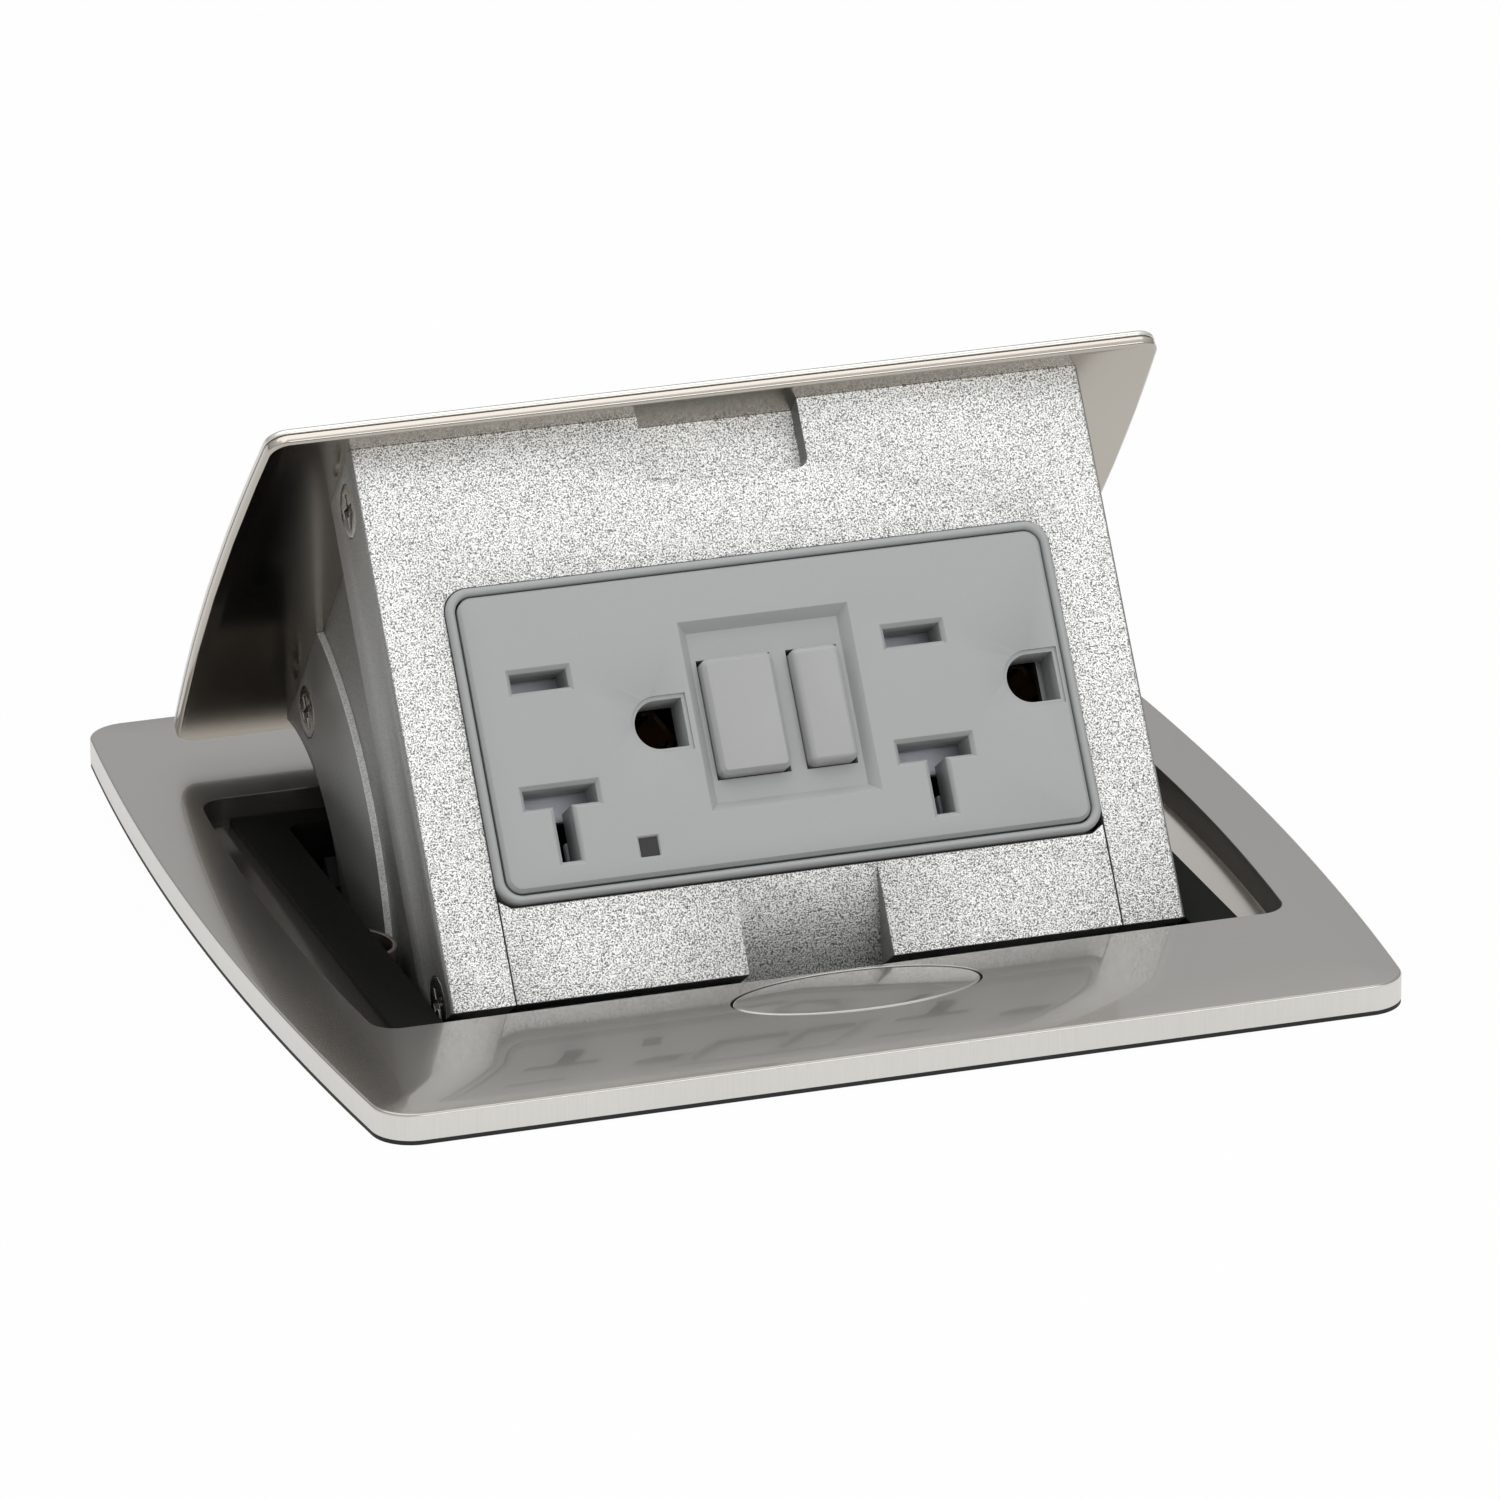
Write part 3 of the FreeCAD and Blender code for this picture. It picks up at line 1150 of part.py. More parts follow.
def make_rec_body():
    """Body of the receptacle behind the strap, hollowed for contacts and buttons."""
    body = rec_block(BODY_HALF_X, BODY_HALF_A, BODY_B0, STRAP_B - RUN_CLEAR, BODY_CORNER)
    body = chamfer_low(body, BODY_CHAMFER)
    top = STRAP_B + 1
    deep = STRAP_B - CONTACT_DEEP - SEAT_CLEAR
    for x in OUTLET_X:
        wide = CONTACT_HALF + 1.4
        body = body.cut(box(x - wide, x + wide, REC_A + BLADE_A - 3.85, REC_A + BLADE_A + 3.95,
                            deep, top))
        body = body.cut(box(x - wide, x + wide, REC_A - BODY_HALF_A + BODY_EDGE,
                            REC_A - BLADE_A + 3.85, deep, top))
        wide = SHUTTER_HALF + FACE_CLEAR
        body = body.cut(box(x - wide, x + wide, REC_A + SHUTTER_LOW - SLOT_CLEAR,
                            REC_A + SHUTTER_HIGH + SHUTTER_TRAVEL + FACE_CLEAR,
                            SHUTTER_B1 - SHUTTER_T - SEAT_CLEAR, top))
        gx = x + GROUND_DX
        r = SLEEVE_R + SEAT_CLEAR
        body = body.cut(box(gx - r - 0.2, gx + r + 0.2, REC_A - r, REC_A + r, deep, top))
    for x, w in REC_BUTTONS:
        hx = w / 2 + COLLAR + FACE_CLEAR
        ha = BTN_H / 2 + COLLAR + FACE_CLEAR
        body = body.cut(box(x - hx, x + hx, REC_A - ha, REC_A + ha, STRAP_B - POCKET_D, top))
    for s in LEFT_AND_RIGHT:
        for x in TERMINAL_X:
            hole = TERMINAL_HALF + 0.6
            a = REC_A + s * (TERMINAL_A + 1.5)
            body = body.cut(box(x - hole, x + hole, a - 1.5, a + 1.5,
                                TERMINAL_B - TERMINAL_RISE - 1, TERMINAL_B + TERMINAL_RISE + 1))
            body = body.cut(six(tight(TERMINAL_SCREW), 4.0, V(x, a, TERMINAL_B), V(0, -s, 0)))
    return body


def make_terminals(s):
    """Wire screws on one long side of the receptacle body, each with its clamp plate."""
    items = []
    a = REC_A + s * TERMINAL_A
    seat_a = a + s * CLAMP_T
    for x in TERMINAL_X:
        clamp = box(x - TERMINAL_HALF, x + TERMINAL_HALF, min(a, seat_a), max(a, seat_a),
                    TERMINAL_B - TERMINAL_RISE, TERMINAL_B + TERMINAL_RISE)
        bolt = slotted_screw(TERMINAL_SCREW, V(x, seat_a, TERMINAL_B), V(0, s, 0))
        items.append(clamp.fuse(bolt))
    return Part.makeCompound(items)


def make_blade_contacts(a):
    """Pairs of spring leaves that grip a blade, joined at the bottom, one in each outlet."""
    b0 = STRAP_B - CONTACT_DEEP
    b1 = STRAP_B - CONTACT_TOP
    t = CONTACT_T
    gap = BLADE_GAP
    items = []
    for x in OUTLET_X:
        x0 = x - CONTACT_HALF
        x1 = x + CONTACT_HALF
        leaves = [box(x0, x1, a + gap, a + gap + t, b0, b1)]
        leaves.append(box(x0, x1, a - gap - t, a - gap, b0, b1))
        leaves.append(box(x0, x1, a - gap - t, a + gap + t, b0, b0 + t))
        items.append(fuse(leaves))
    return Part.makeCompound(items)


def make_ground_contacts():
    """Split six-sided sleeves behind the round holes."""
    items = []
    b0 = STRAP_B - CONTACT_DEEP
    for x in OUTLET_X:
        gx = x + GROUND_DX
        tube = six(SLEEVE_R, SLEEVE_L, V(gx, REC_A, b0))
        tube = tube.cut(six(SLEEVE_R - 0.6, SLEEVE_L, V(gx, REC_A, b0 + 0.6)))
        tube = tube.cut(box(gx - 0.5, gx + 0.5, REC_A - SLEEVE_R - 1, REC_A + SLEEVE_R + 1,
                            b0 + 3, b0 + SLEEVE_L + 1))
        items.append(tube)
    return Part.makeCompound(items)


def make_shutter(x):
    """Sliding shutter of one outlet; its windows line up with the slots once it has moved."""
    b1 = SHUTTER_B1
    b0 = b1 - SHUTTER_T
    plate = box(x - SHUTTER_HALF, x + SHUTTER_HALF, REC_A + SHUTTER_LOW, REC_A + SHUTTER_HIGH,
                b0, b1)
    high = SLOT_H / 2 + WEDGE_GAP
    for a, w in ((BLADE_A, SLOT_W), (-BLADE_A, T_SLOT_W)):
        mid = REC_A + a - SHUTTER_TRAVEL
        half = w / 2 + FACE_CLEAR
        plate = plate.cut(box(x - half, x + half, mid - high, mid + high, b0 - 1, b1 + 1))
    stem = REC_A - BLADE_A - SHUTTER_TRAVEL
    return plate.cut(box(x - high, x + high, REC_A + SHUTTER_LOW - 1, stem, b0 - 1, b1 + 1))


def write_base():
    """The pieces that stay still, and the latch."""
    write(make_flange(), "cover_flange")
    write(make_gasket(), "floor_gasket")
    write(make_box(), "floor_box")
    write(make_conduit_plug(), "conduit_plug")
    write(make_liner(), "throat_liner")
    write(make_clips(), "side_clips")
    write(make_bracket(-1), "hinge_bracket_left")
    write(make_bracket(1), "hinge_bracket_right")
    write(make_shaft(), "hinge_shaft")
    write(make_retaining_ring(), "shaft_ring")
    write(make_spring_rail(), "spring_rail")
    write(make_torsion_spring(-1), "torsion_spring_left")
    write(make_torsion_spring(1), "torsion_spring_right")
    write(make_stops(), "stop_buffers")
    write(make_latch_tray(), "latch_tray")
    write(make_button(), "oval_button")
    write(make_button_springs(), "button_springs")
    write(make_bolt(), "latch_bolt")
    write(make_bolt_springs(), "bolt_springs")
    down = V(0, 0, -1)
    seats = [V(x, y, LEDGE_Z - RIM_T) for x, y in FLANGE_SCREWS]
    write(hex_screws(FLANGE_SCREW, seats, down), "flange_screws")
    seats = [V(s * LATCH_SCREW_X, LATCH_SCREW_Y, LEDGE_Z - EAR_T) for s in LEFT_AND_RIGHT]
    write(hex_screws(LATCH_SCREW, seats, down), "latch_screws")
    seats = [V(s * BRACKET_SCREW_X, y, BOX_WALL + BR_T) for s in LEFT_AND_RIGHT
             for y in BRACKET_SCREW_Y]
    write(hex_screws(BRACKET_SCREW, seats, AX_Z), "bracket_screws")


def write_carriage():
    """The pieces that swing up, each turned to the raised position."""
    strap_seats = [V(s * STRAP_SCREW_X, REC_A, STRAP_B + STRAP_T) for s in LEFT_AND_RIGHT]
    panel_seats = [V(s * PANEL_SCREW_X, PANEL_SCREW_A, FRAME_B0) for s in LEFT_AND_RIGHT]
    carriage = {
        "lid_skin": make_lid_skin(),
        "lid_plate": make_lid_plate(),
        "carriage_frame": make_carriage_frame(),
        "side_screws": make_side_screws(),
        "tie_bar": make_tie_bar(),
        "inner_frame": make_inner_frame(),
        "ramp_panel": make_panel(),
        "panel_screws": hex_screws(PANEL_SCREW, panel_seats, V(0, 0, -1)),
        "receptacle_rim": make_rec_rim(),
        "receptacle_face": make_rec_face(),
        "receptacle_strap": make_strap(),
        "strap_screws": hex_screws(STRAP_SCREW, strap_seats, AX_Z),
        "receptacle_body": make_rec_body(),
        "terminals_line": make_terminals(1),
        "terminals_neutral": make_terminals(-1),
        "contacts_line": make_blade_contacts(REC_A + BLADE_A),
        "contacts_neutral": make_blade_contacts(REC_A - BLADE_A),
        "contacts_ground": make_ground_contacts(),
        "indicator_lens": make_lens(),
        "reset_button": make_rec_button(RESET_X, RESET_W),
        "test_button": make_rec_button(TEST_X, TEST_W),
        "shutter_left": make_shutter(OUTLET_X[0]),
        "shutter_right": make_shutter(OUTLET_X[1]),
    }
    for name, shape in carriage.items():
        write(place(shape), name)


write_base()
write_carriage()
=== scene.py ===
import bmesh
import bpy
import json
import math
import numpy as np
from mathutils import Matrix, Vector
from mathutils.geometry import delaunay_2d_cdt

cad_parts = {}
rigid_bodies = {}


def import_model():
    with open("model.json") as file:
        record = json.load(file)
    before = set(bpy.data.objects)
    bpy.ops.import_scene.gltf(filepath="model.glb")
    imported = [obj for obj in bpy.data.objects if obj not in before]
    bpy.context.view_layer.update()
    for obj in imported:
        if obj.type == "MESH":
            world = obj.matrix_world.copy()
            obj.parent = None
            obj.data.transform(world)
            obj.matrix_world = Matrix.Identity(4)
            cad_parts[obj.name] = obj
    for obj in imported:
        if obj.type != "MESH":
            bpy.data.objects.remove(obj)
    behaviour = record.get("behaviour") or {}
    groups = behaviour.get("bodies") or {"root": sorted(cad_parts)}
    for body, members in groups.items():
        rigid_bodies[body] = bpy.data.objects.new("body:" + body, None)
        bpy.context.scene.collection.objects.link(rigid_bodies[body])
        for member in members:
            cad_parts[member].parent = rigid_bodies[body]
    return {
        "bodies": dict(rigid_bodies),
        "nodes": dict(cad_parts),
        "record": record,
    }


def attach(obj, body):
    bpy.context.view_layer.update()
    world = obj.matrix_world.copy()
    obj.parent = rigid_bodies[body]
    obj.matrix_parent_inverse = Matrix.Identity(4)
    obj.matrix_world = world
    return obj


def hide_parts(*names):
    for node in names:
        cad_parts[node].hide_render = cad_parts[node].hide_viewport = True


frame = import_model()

# X runs along the hinge, the push button is at -Y, Z is up. Lengths are in metres, apart from
# those of the flange, its openings and the gasket, which are in millimetres.

NODES = frame["nodes"]
BODY_OF = {name: body for body, names in frame["record"]["behaviour"]["bodies"].items()
           for name in names}
SLOT_OF = {part["node"]: part["material_slot"] for part in frame["record"]["subparts"]}

MM = 0.001

# Outlines in millimetres: half width, front, rear, bow of the sides and corner radius
FLANGE_EDGE = (57.07, -60.39, 60.39, 3.3, 4.5)
OPENING_EDGE = (51.4, -38.4, 32.4, 1.6, 3.0)
GASKET_HOLE = (55.0, -57.0, 57.0, 0.001, 5.0)

# Button hole in millimetres: half length, half width and place along Y
BUTTON_HOLE = (14.1, 5.6, -44.45)

# Heights, crown and rounded edges of the flange and the gasket, in millimetres
FLANGE_TOP = 76.0
FLANGE_LOW = 72.5
GASKET_LOW = 72.0
GASKET_INSET = 0.02
CROWN_WIDE = 9.0
CROWN_DROP = 0.6
FLANGE_ROUND = 0.30
OPENING_ROUND = 0.14
HOLE_ROUND = 0.12
RING_GAP = 1.0
CORNER_GAIN = 0.3

# Steps along an outline's side, corner and straight edge, round the oval and down a rounding
SIDE_STEPS = 56
CORNER_STEPS = 16
EDGE_STEPS = 60
OVAL_STEPS = 120
ROUND_STEPS = 6
TINY = 1e-9

# Places in metres, from here on
TOP_Z = FLANGE_TOP * MM
FLOOR_Z = GASKET_LOW * MM
PIVOT = Vector((0.0, 0.0412, 0.0592))
FACE_TURN = math.radians(55.8)
UP_FACE = Vector((0.0, math.cos(FACE_TURN), math.sin(FACE_TURN)))
OUT_OF_FACE = Vector((0.0, -math.sin(FACE_TURN), math.cos(FACE_TURN)))
LID_TURN = math.radians(49.0)
LID_UP = Vector((0.0, math.sin(LID_TURN), math.cos(LID_TURN)))
FACE_FRONT = 0.0699
FACE_REACH = 0.0035
ARC_RADIUS = 0.0382
ARC_REACH = 0.0006
ARC_INNER_X = 0.0373
LEDGE_Z = 0.0724
WALL_X = 0.0545
WALL_Y = 0.05
NICK = 0.0014
NICK_REACH = 0.00005
CORNER_RISE = 0.0009

# Share of a face's normal that lies along a direction, as a limit for each kind of face
FACING = 0.9
SLANTED = 0.6
UPRIGHT = 0.5
SIDEWAYS = 0.3

# Rounded edges: the widths where a whole piece has one finish, and values for all of them
PLAIN_EDGES = {
    "lid_plate": 0.0001,
    "receptacle_rim": 0.00015,
    "receptacle_face": 0.0001,
    "reset_button": 0.00025,
    "test_button": 0.00025,
    "side_screws": 0.00012,
    "throat_liner": 0.0002,
    "receptacle_body": 0.0003,
    "side_clips": 0.00008,
}
EDGE_SEGMENTS = 2
EDGE_ANGLE = math.radians(30.0)

# Nodes whose flats stay divided into triangles, and limits for joining flats and corners
DIVIDED_FLATS = ("receptacle_face",)
FLAT_ANGLE = math.radians(0.6)
MERGE_REACH = 2e-6

# Colour sockets of the Mix node
MIX_A = 6
MIX_B = 7
MIX_RESULT = 2


def clear_default_objects():
    """Remove whatever the empty file brought along."""
    kept = set(NODES.values()) | set(frame["bodies"].values())
    for obj in list(bpy.data.objects):
        if obj not in kept:
            bpy.data.objects.remove(obj)


# Camera


def make_camera():
    """Camera at the photograph's angle, as a fit to its edges and corners gave it.

    The scale and the place of the flange's middle are in the photograph's pixels.
    """
    photo = 1500.0
    sensor = 36.0
    azimuth = math.radians(18.045)
    elevation = math.radians(21.120)
    roll = math.radians(-0.507)
    distance = 1.2282
    pixels_per_m = 9069.4
    middle_x, middle_y = 727.35, 845.21
    forward = Vector((math.sin(azimuth) * math.cos(elevation),
                      math.cos(azimuth) * math.cos(elevation), -math.sin(elevation)))
    level = Vector((math.cos(azimuth), -math.sin(azimuth), 0.0))
    up = level.cross(forward)
    right = level * math.cos(roll) + up * math.sin(roll)
    top = up * math.cos(roll) - level * math.sin(roll)
    across = (middle_x - photo / 2) / pixels_per_m
    upward = (photo / 2 - middle_y) / pixels_per_m
    place = Vector((0.0, 0.0, TOP_Z)) - right * across - top * upward - forward * distance
    data = bpy.data.cameras.new("camera")
    data.sensor_width = sensor
    data.lens = pixels_per_m * distance / photo * sensor
    data.clip_start = 0.05
    data.clip_end = 20.0
    camera = bpy.data.objects.new("camera", data)
    bpy.context.scene.collection.objects.link(camera)
    turn = Matrix((right, top, -forward)).transposed().to_4x4()
    camera.matrix_world = Matrix.Translation(place) @ turn
    bpy.context.scene.camera = camera


# Shader nodes


def new_group(name, inputs, outputs):
    """Empty shader group; inputs are float names and start values, outputs names and kinds."""
    group = bpy.data.node_groups.new(name, "ShaderNodeTree")
    for label, value in inputs:
        socket = group.interface.new_socket(label, in_out="INPUT", socket_type="NodeSocketFloat")
        socket.default_value = value
    for label, kind in outputs:
        group.interface.new_socket(label, in_out="OUTPUT", socket_type=kind)
    start = group.nodes.new("NodeGroupInput")
    end = group.nodes.new("NodeGroupOutput")
    return group, start, end


def surface_group(name, inputs):
    """Empty shader group that puts out height, roughness and shade."""
    outputs = [(label, "NodeSocketFloat") for label in ("Height", "Roughness", "Shade")]
    return new_group(name, inputs, outputs)


def feed(tree, value, socket):
    """Give a socket its value: a number is set on it, an output is linked to it."""
    if isinstance(value, (int, float)):
        socket.default_value = value
    else:
        tree.links.new(value, socket)


def math_node(tree, operation, a, b, clamp=False):
    """Math node; a and b are outputs or numbers. Returns its output."""
    node = tree.nodes.new("ShaderNodeMath")
    node.operation = operation
    node.use_clamp = clamp
    feed(tree, a, node.inputs[0])
    feed(tree, b, node.inputs[1])
    return node.outputs[0]


def noise(tree, coords, scale, detail=2.0, rough=0.5, stretch=(1.0, 1.0, 1.0)):
    """Noise of the given scale per metre on stretched coordinates. Returns its value output."""
    mapping = tree.nodes.new("ShaderNodeMapping")
    mapping.inputs["Scale"].default_value = stretch
    tree.links.new(coords, mapping.inputs["Vector"])
    node = tree.nodes.new("ShaderNodeTexNoise")
    node.inputs["Scale"].default_value = scale
    node.inputs["Detail"].default_value = detail
    node.inputs["Roughness"].default_value = rough
    tree.links.new(mapping.outputs["Vector"], node.inputs["Vector"])
    return node.outputs["Fac"]


def object_coords(tree):
    """Object coordinates output."""
    return tree.nodes.new("ShaderNodeTexCoord").outputs["Object"]


def remap(tree, value, low, high):
    """Value from 0..1 turned into low..high."""
    node = tree.nodes.new("ShaderNodeMapRange")
    tree.links.new(value, node.inputs["Value"])
    feed(tree, low, node.inputs["To Min"])
    feed(tree, high, node.inputs["To Max"])
    return node.outputs["Result"]


def put_out(group, start, end, value, label, output):
    """Lead a value of 0..1 to an output, spread between the label's low and high inputs."""
    spread = remap(group, value, start.outputs[label + " low"], start.outputs[label + " high"])
    group.links.new(spread, end.inputs[output])


def brushed_group(name, along, finer):
    """Fine lines, with a slow cloud of wear: height, roughness and shade.

    The two stretches are the coarse and the fine lines'; the axis with the lowest number is the
    one that the lines follow.
    """
    group, start, end = surface_group(
        name,
        (("Rough low", 0.12), ("Rough high", 0.22), ("Shade low", 0.93), ("Shade high", 1.05)))
    coords = object_coords(group)
    lines = noise(group, coords, scale=60.0, detail=3.0, rough=0.6, stretch=along)
    fine = noise(group, coords, scale=220.0, detail=2.0, rough=0.5, stretch=finer)
    cloud = noise(group, coords, scale=28.0, detail=3.0, rough=0.55)
    both = math_node(group, "MULTIPLY", math_node(group, "ADD", lines, fine), 0.5)
    mixed = math_node(group, "ADD", math_node(group, "MULTIPLY", both, 0.7),
                      math_node(group, "MULTIPLY", cloud, 0.3))
    group.links.new(both, end.inputs["Height"])
    put_out(group, start, end, mixed, "Rough", "Roughness")
    put_out(group, start, end, mixed, "Shade", "Shade")
    return group


def grain_group():
    """Pebbled grain of metallic paint, with finer flecks: height, roughness and shade."""
    group, start, end = surface_group(
        "pebbled_grain",
        (("Grains per metre", 5800.0), ("Rough low", 0.30), ("Rough high", 0.42),
         ("Shade low", 0.27)))
    coords = object_coords(group)
    pebble = group.nodes.new("ShaderNodeTexNoise")
    pebble.inputs["Detail"].default_value = 2.5
    pebble.inputs["Roughness"].default_value = 0.55
    group.links.new(start.outputs["Grains per metre"], pebble.inputs["Scale"])
    group.links.new(coords, pebble.inputs["Vector"])
    fleck = group.nodes.new("ShaderNodeTexVoronoi")
    fleck_scale = math_node(group, "MULTIPLY", start.outputs["Grains per metre"], 1.6)
    group.links.new(fleck_scale, fleck.inputs["Scale"])
    group.links.new(coords, fleck.inputs["Vector"])
    cloud = noise(group, coords, scale=60.0, detail=2.0)
    group.links.new(pebble.outputs["Fac"], end.inputs["Height"])
    put_out(group, start, end, cloud, "Rough", "Roughness")
    tone = group.nodes.new("ShaderNodeMapRange")
    tone.inputs["From Min"].default_value = 0.38
    tone.inputs["From Max"].default_value = 0.56
    tone.inputs["To Max"].default_value = 1.0
    group.links.new(start.outputs["Shade low"], tone.inputs["To Min"])
    group.links.new(pebble.outputs["Fac"], tone.inputs["Value"])
    dots = remap(group, fleck.outputs["Distance"], 1.06, 0.86)
    shade = math_node(group, "MULTIPLY", tone.outputs["Result"], dots)
    group.links.new(shade, end.inputs["Shade"])
    return group


def soft_group():
    """Faint unevenness of a moulded or plain metal skin: height, roughness and shade."""
    group, start, end = surface_group(
        "soft_skin",
        (("Scale", 1500.0), ("Rough low", 0.4), ("Rough high", 0.5), ("Shade low", 0.94),
         ("Shade high", 1.03)))
    coords = object_coords(group)
    skin = group.nodes.new("ShaderNodeTexNoise")
    skin.inputs["Detail"].default_value = 3.0
    group.links.new(start.outputs["Scale"], skin.inputs["Scale"])
    group.links.new(coords, skin.inputs["Vector"])
    cloud = noise(group, coords, scale=45.0, detail=3.0)
    group.links.new(skin.outputs["Fac"], end.inputs["Height"])
    mixed = math_node(group, "MULTIPLY", math_node(group, "ADD", skin.outputs["Fac"], cloud), 0.5)
    put_out(group, start, end, mixed, "Rough", "Roughness")
    put_out(group, start, end, mixed, "Shade", "Shade")
    return group


def dished_group():
    """Normals of a lip dished towards the part's middle: the farther out, the more tilted."""
    group, start, end = new_group("dished_lip", (("Across", -5.0), ("Along", -4.0)),
                                  (("Normal", "NodeSocketVector"),))
    split = group.nodes.new("ShaderNodeSeparateXYZ")
    group.links.new(object_coords(group), split.inputs[0])
    join = group.nodes.new("ShaderNodeCombineXYZ")
    for axis, label in (("X", "Across"), ("Y", "Along")):
        tilt = math_node(group, "MULTIPLY", split.outputs[axis], start.outputs[label])
        group.links.new(tilt, join.inputs[axis])
    join.inputs["Z"].default_value = 1.0
    unit = group.nodes.new("ShaderNodeVectorMath")
    unit.operation = "NORMALIZE"
    group.links.new(join.outputs[0], unit.inputs[0])
    group.links.new(unit.outputs[0], end.inputs["Normal"])
    return group


# Finishes


def finish_material(name, group, colour, metallic, bump, values, coat=0.0, coat_rough=0.25,
                    gloss=0.5, turned=None):
    """Principled material whose shade, roughness and bump come from a shader group.

    The values are those of the group's inputs. Where turned is given, its group's normals take
    the place of the surface's own.
    """
    material = bpy.data.materials.new(name)
    material.use_nodes = True
    tree = material.node_tree
    shader = tree.nodes["Principled BSDF"]
    source = tree.nodes.new("ShaderNodeGroup")
    source.node_tree = group
    for label, number in values.items():
        source.inputs[label].default_value = number
    tint = tree.nodes.new("ShaderNodeMix")
    tint.data_type = "RGBA"
    tint.blend_type = "MULTIPLY"
    tint.inputs["Factor"].default_value = 1.0
    tint.inputs[MIX_A].default_value = (*colour, 1.0)
    tree.links.new(source.outputs["Shade"], tint.inputs[MIX_B])
    tree.links.new(tint.outputs[MIX_RESULT], shader.inputs["Base Color"])
    tree.links.new(source.outputs["Roughness"], shader.inputs["Roughness"])
    relief = tree.nodes.new("ShaderNodeBump")
    relief.inputs["Strength"].default_value = 1.0
    relief.inputs["Distance"].default_value = bump
    tree.links.new(source.outputs["Height"], relief.inputs["Height"])
    if turned:
        normals = tree.nodes.new("ShaderNodeGroup")
        normals.node_tree = turned
        tree.links.new(normals.outputs["Normal"], relief.inputs["Normal"])
    tree.links.new(relief.outputs["Normal"], shader.inputs["Normal"])
    shader.inputs["Metallic"].default_value = metallic
    shader.inputs["Coat Weight"].default_value = coat
    shader.inputs["Coat Roughness"].default_value = coat_rough
    shader.inputs["Specular IOR Level"].default_value = gloss
    return material


def brush(rough_low, rough_high, shade_low=0.93, shade_high=1.05):
    """Input values of a brushed finish."""
    return {"Rough low": rough_low, "Rough high": rough_high,
            "Shade low": shade_low, "Shade high": shade_high}


def skin(scale, rough_low, rough_high, shade_low=0.94, shade_high=1.03):
    """Input values of a soft finish."""
    return {"Scale": scale, **brush(rough_low, rough_high, shade_low, shade_high)}


def brushed_finishes():
    """Brushed and polished sheet metal, its cut edges with a partly painted highlight, and the
    ledge in the opening.
    """
    lines = brushed_group("brushed_lines", (1.0, 90.0, 90.0), (1.0, 60.0, 60.0))
    hairs = brushed_group("edge_hairs", (90.0, 90.0, 1.0), (60.0, 60.0, 1.0))
    return {
        # Base colour darker than nickel's own, so that the flats' reflections come out dim:
        # painted shade
        "brushed_nickel": dict(group=lines, colour=(0.35, 0.337, 0.315), metallic=0.9,
                               bump=4.0e-7, values=brush(0.20, 0.31), coat=1.0,
                               coat_rough=0.05),
        # Vertical hairs and a rougher finish are real; the base colour twice as light as the
        # flats' is a painted highlight on the cut edges
        "nickel_edge_hairs_and_highlight": dict(group=hairs, colour=(0.75, 0.735, 0.705), metallic=0.9,
                            bump=2.0e-6, values=brush(0.26, 0.40, 0.82, 1.12)),
        "ledge_metal": dict(group=lines, colour=(0.66, 0.63, 0.59), metallic=0.95,
                            bump=4.0e-7, values=brush(0.10, 0.20), turned=dished_group()),
        "polished_steel": dict(group=lines, colour=(0.50, 0.465, 0.42), metallic=1.0,
                               bump=1.0e-6, values=brush(0.10, 0.22)),
    }


def painted_finishes():
    """Silver paint of the carriage: coarse and light on its face, with a painted highlight on its
    arcs' edges, and finer and darker elsewhere, where the darker base colour is painted shade.
    """
    grain = grain_group()
    return {
        "silver_grain": dict(group=grain, colour=(0.95, 0.95, 0.93), metallic=0.85,
                             bump=9.0e-5, values={"Shade low": 0.15}),
        # Non-metallic near white: a painted highlight along the arcs' rounded edges
        "silver_edge_highlight": dict(group=grain, colour=(0.97, 0.97, 0.95), metallic=0.0,
                            bump=5.0e-5, values={"Shade low": 0.70}),
        # The face's same paint with a much darker base colour: painted shade on the carriage's
        # sides and back
        "silver_paint": dict(group=grain, colour=(0.36, 0.36, 0.352), metallic=0.75,
                             bump=3.0e-5, values={"Grains per metre": 7200.0, "Rough low": 0.40,
                                                  "Rough high": 0.52, "Shade low": 0.58}),
    }


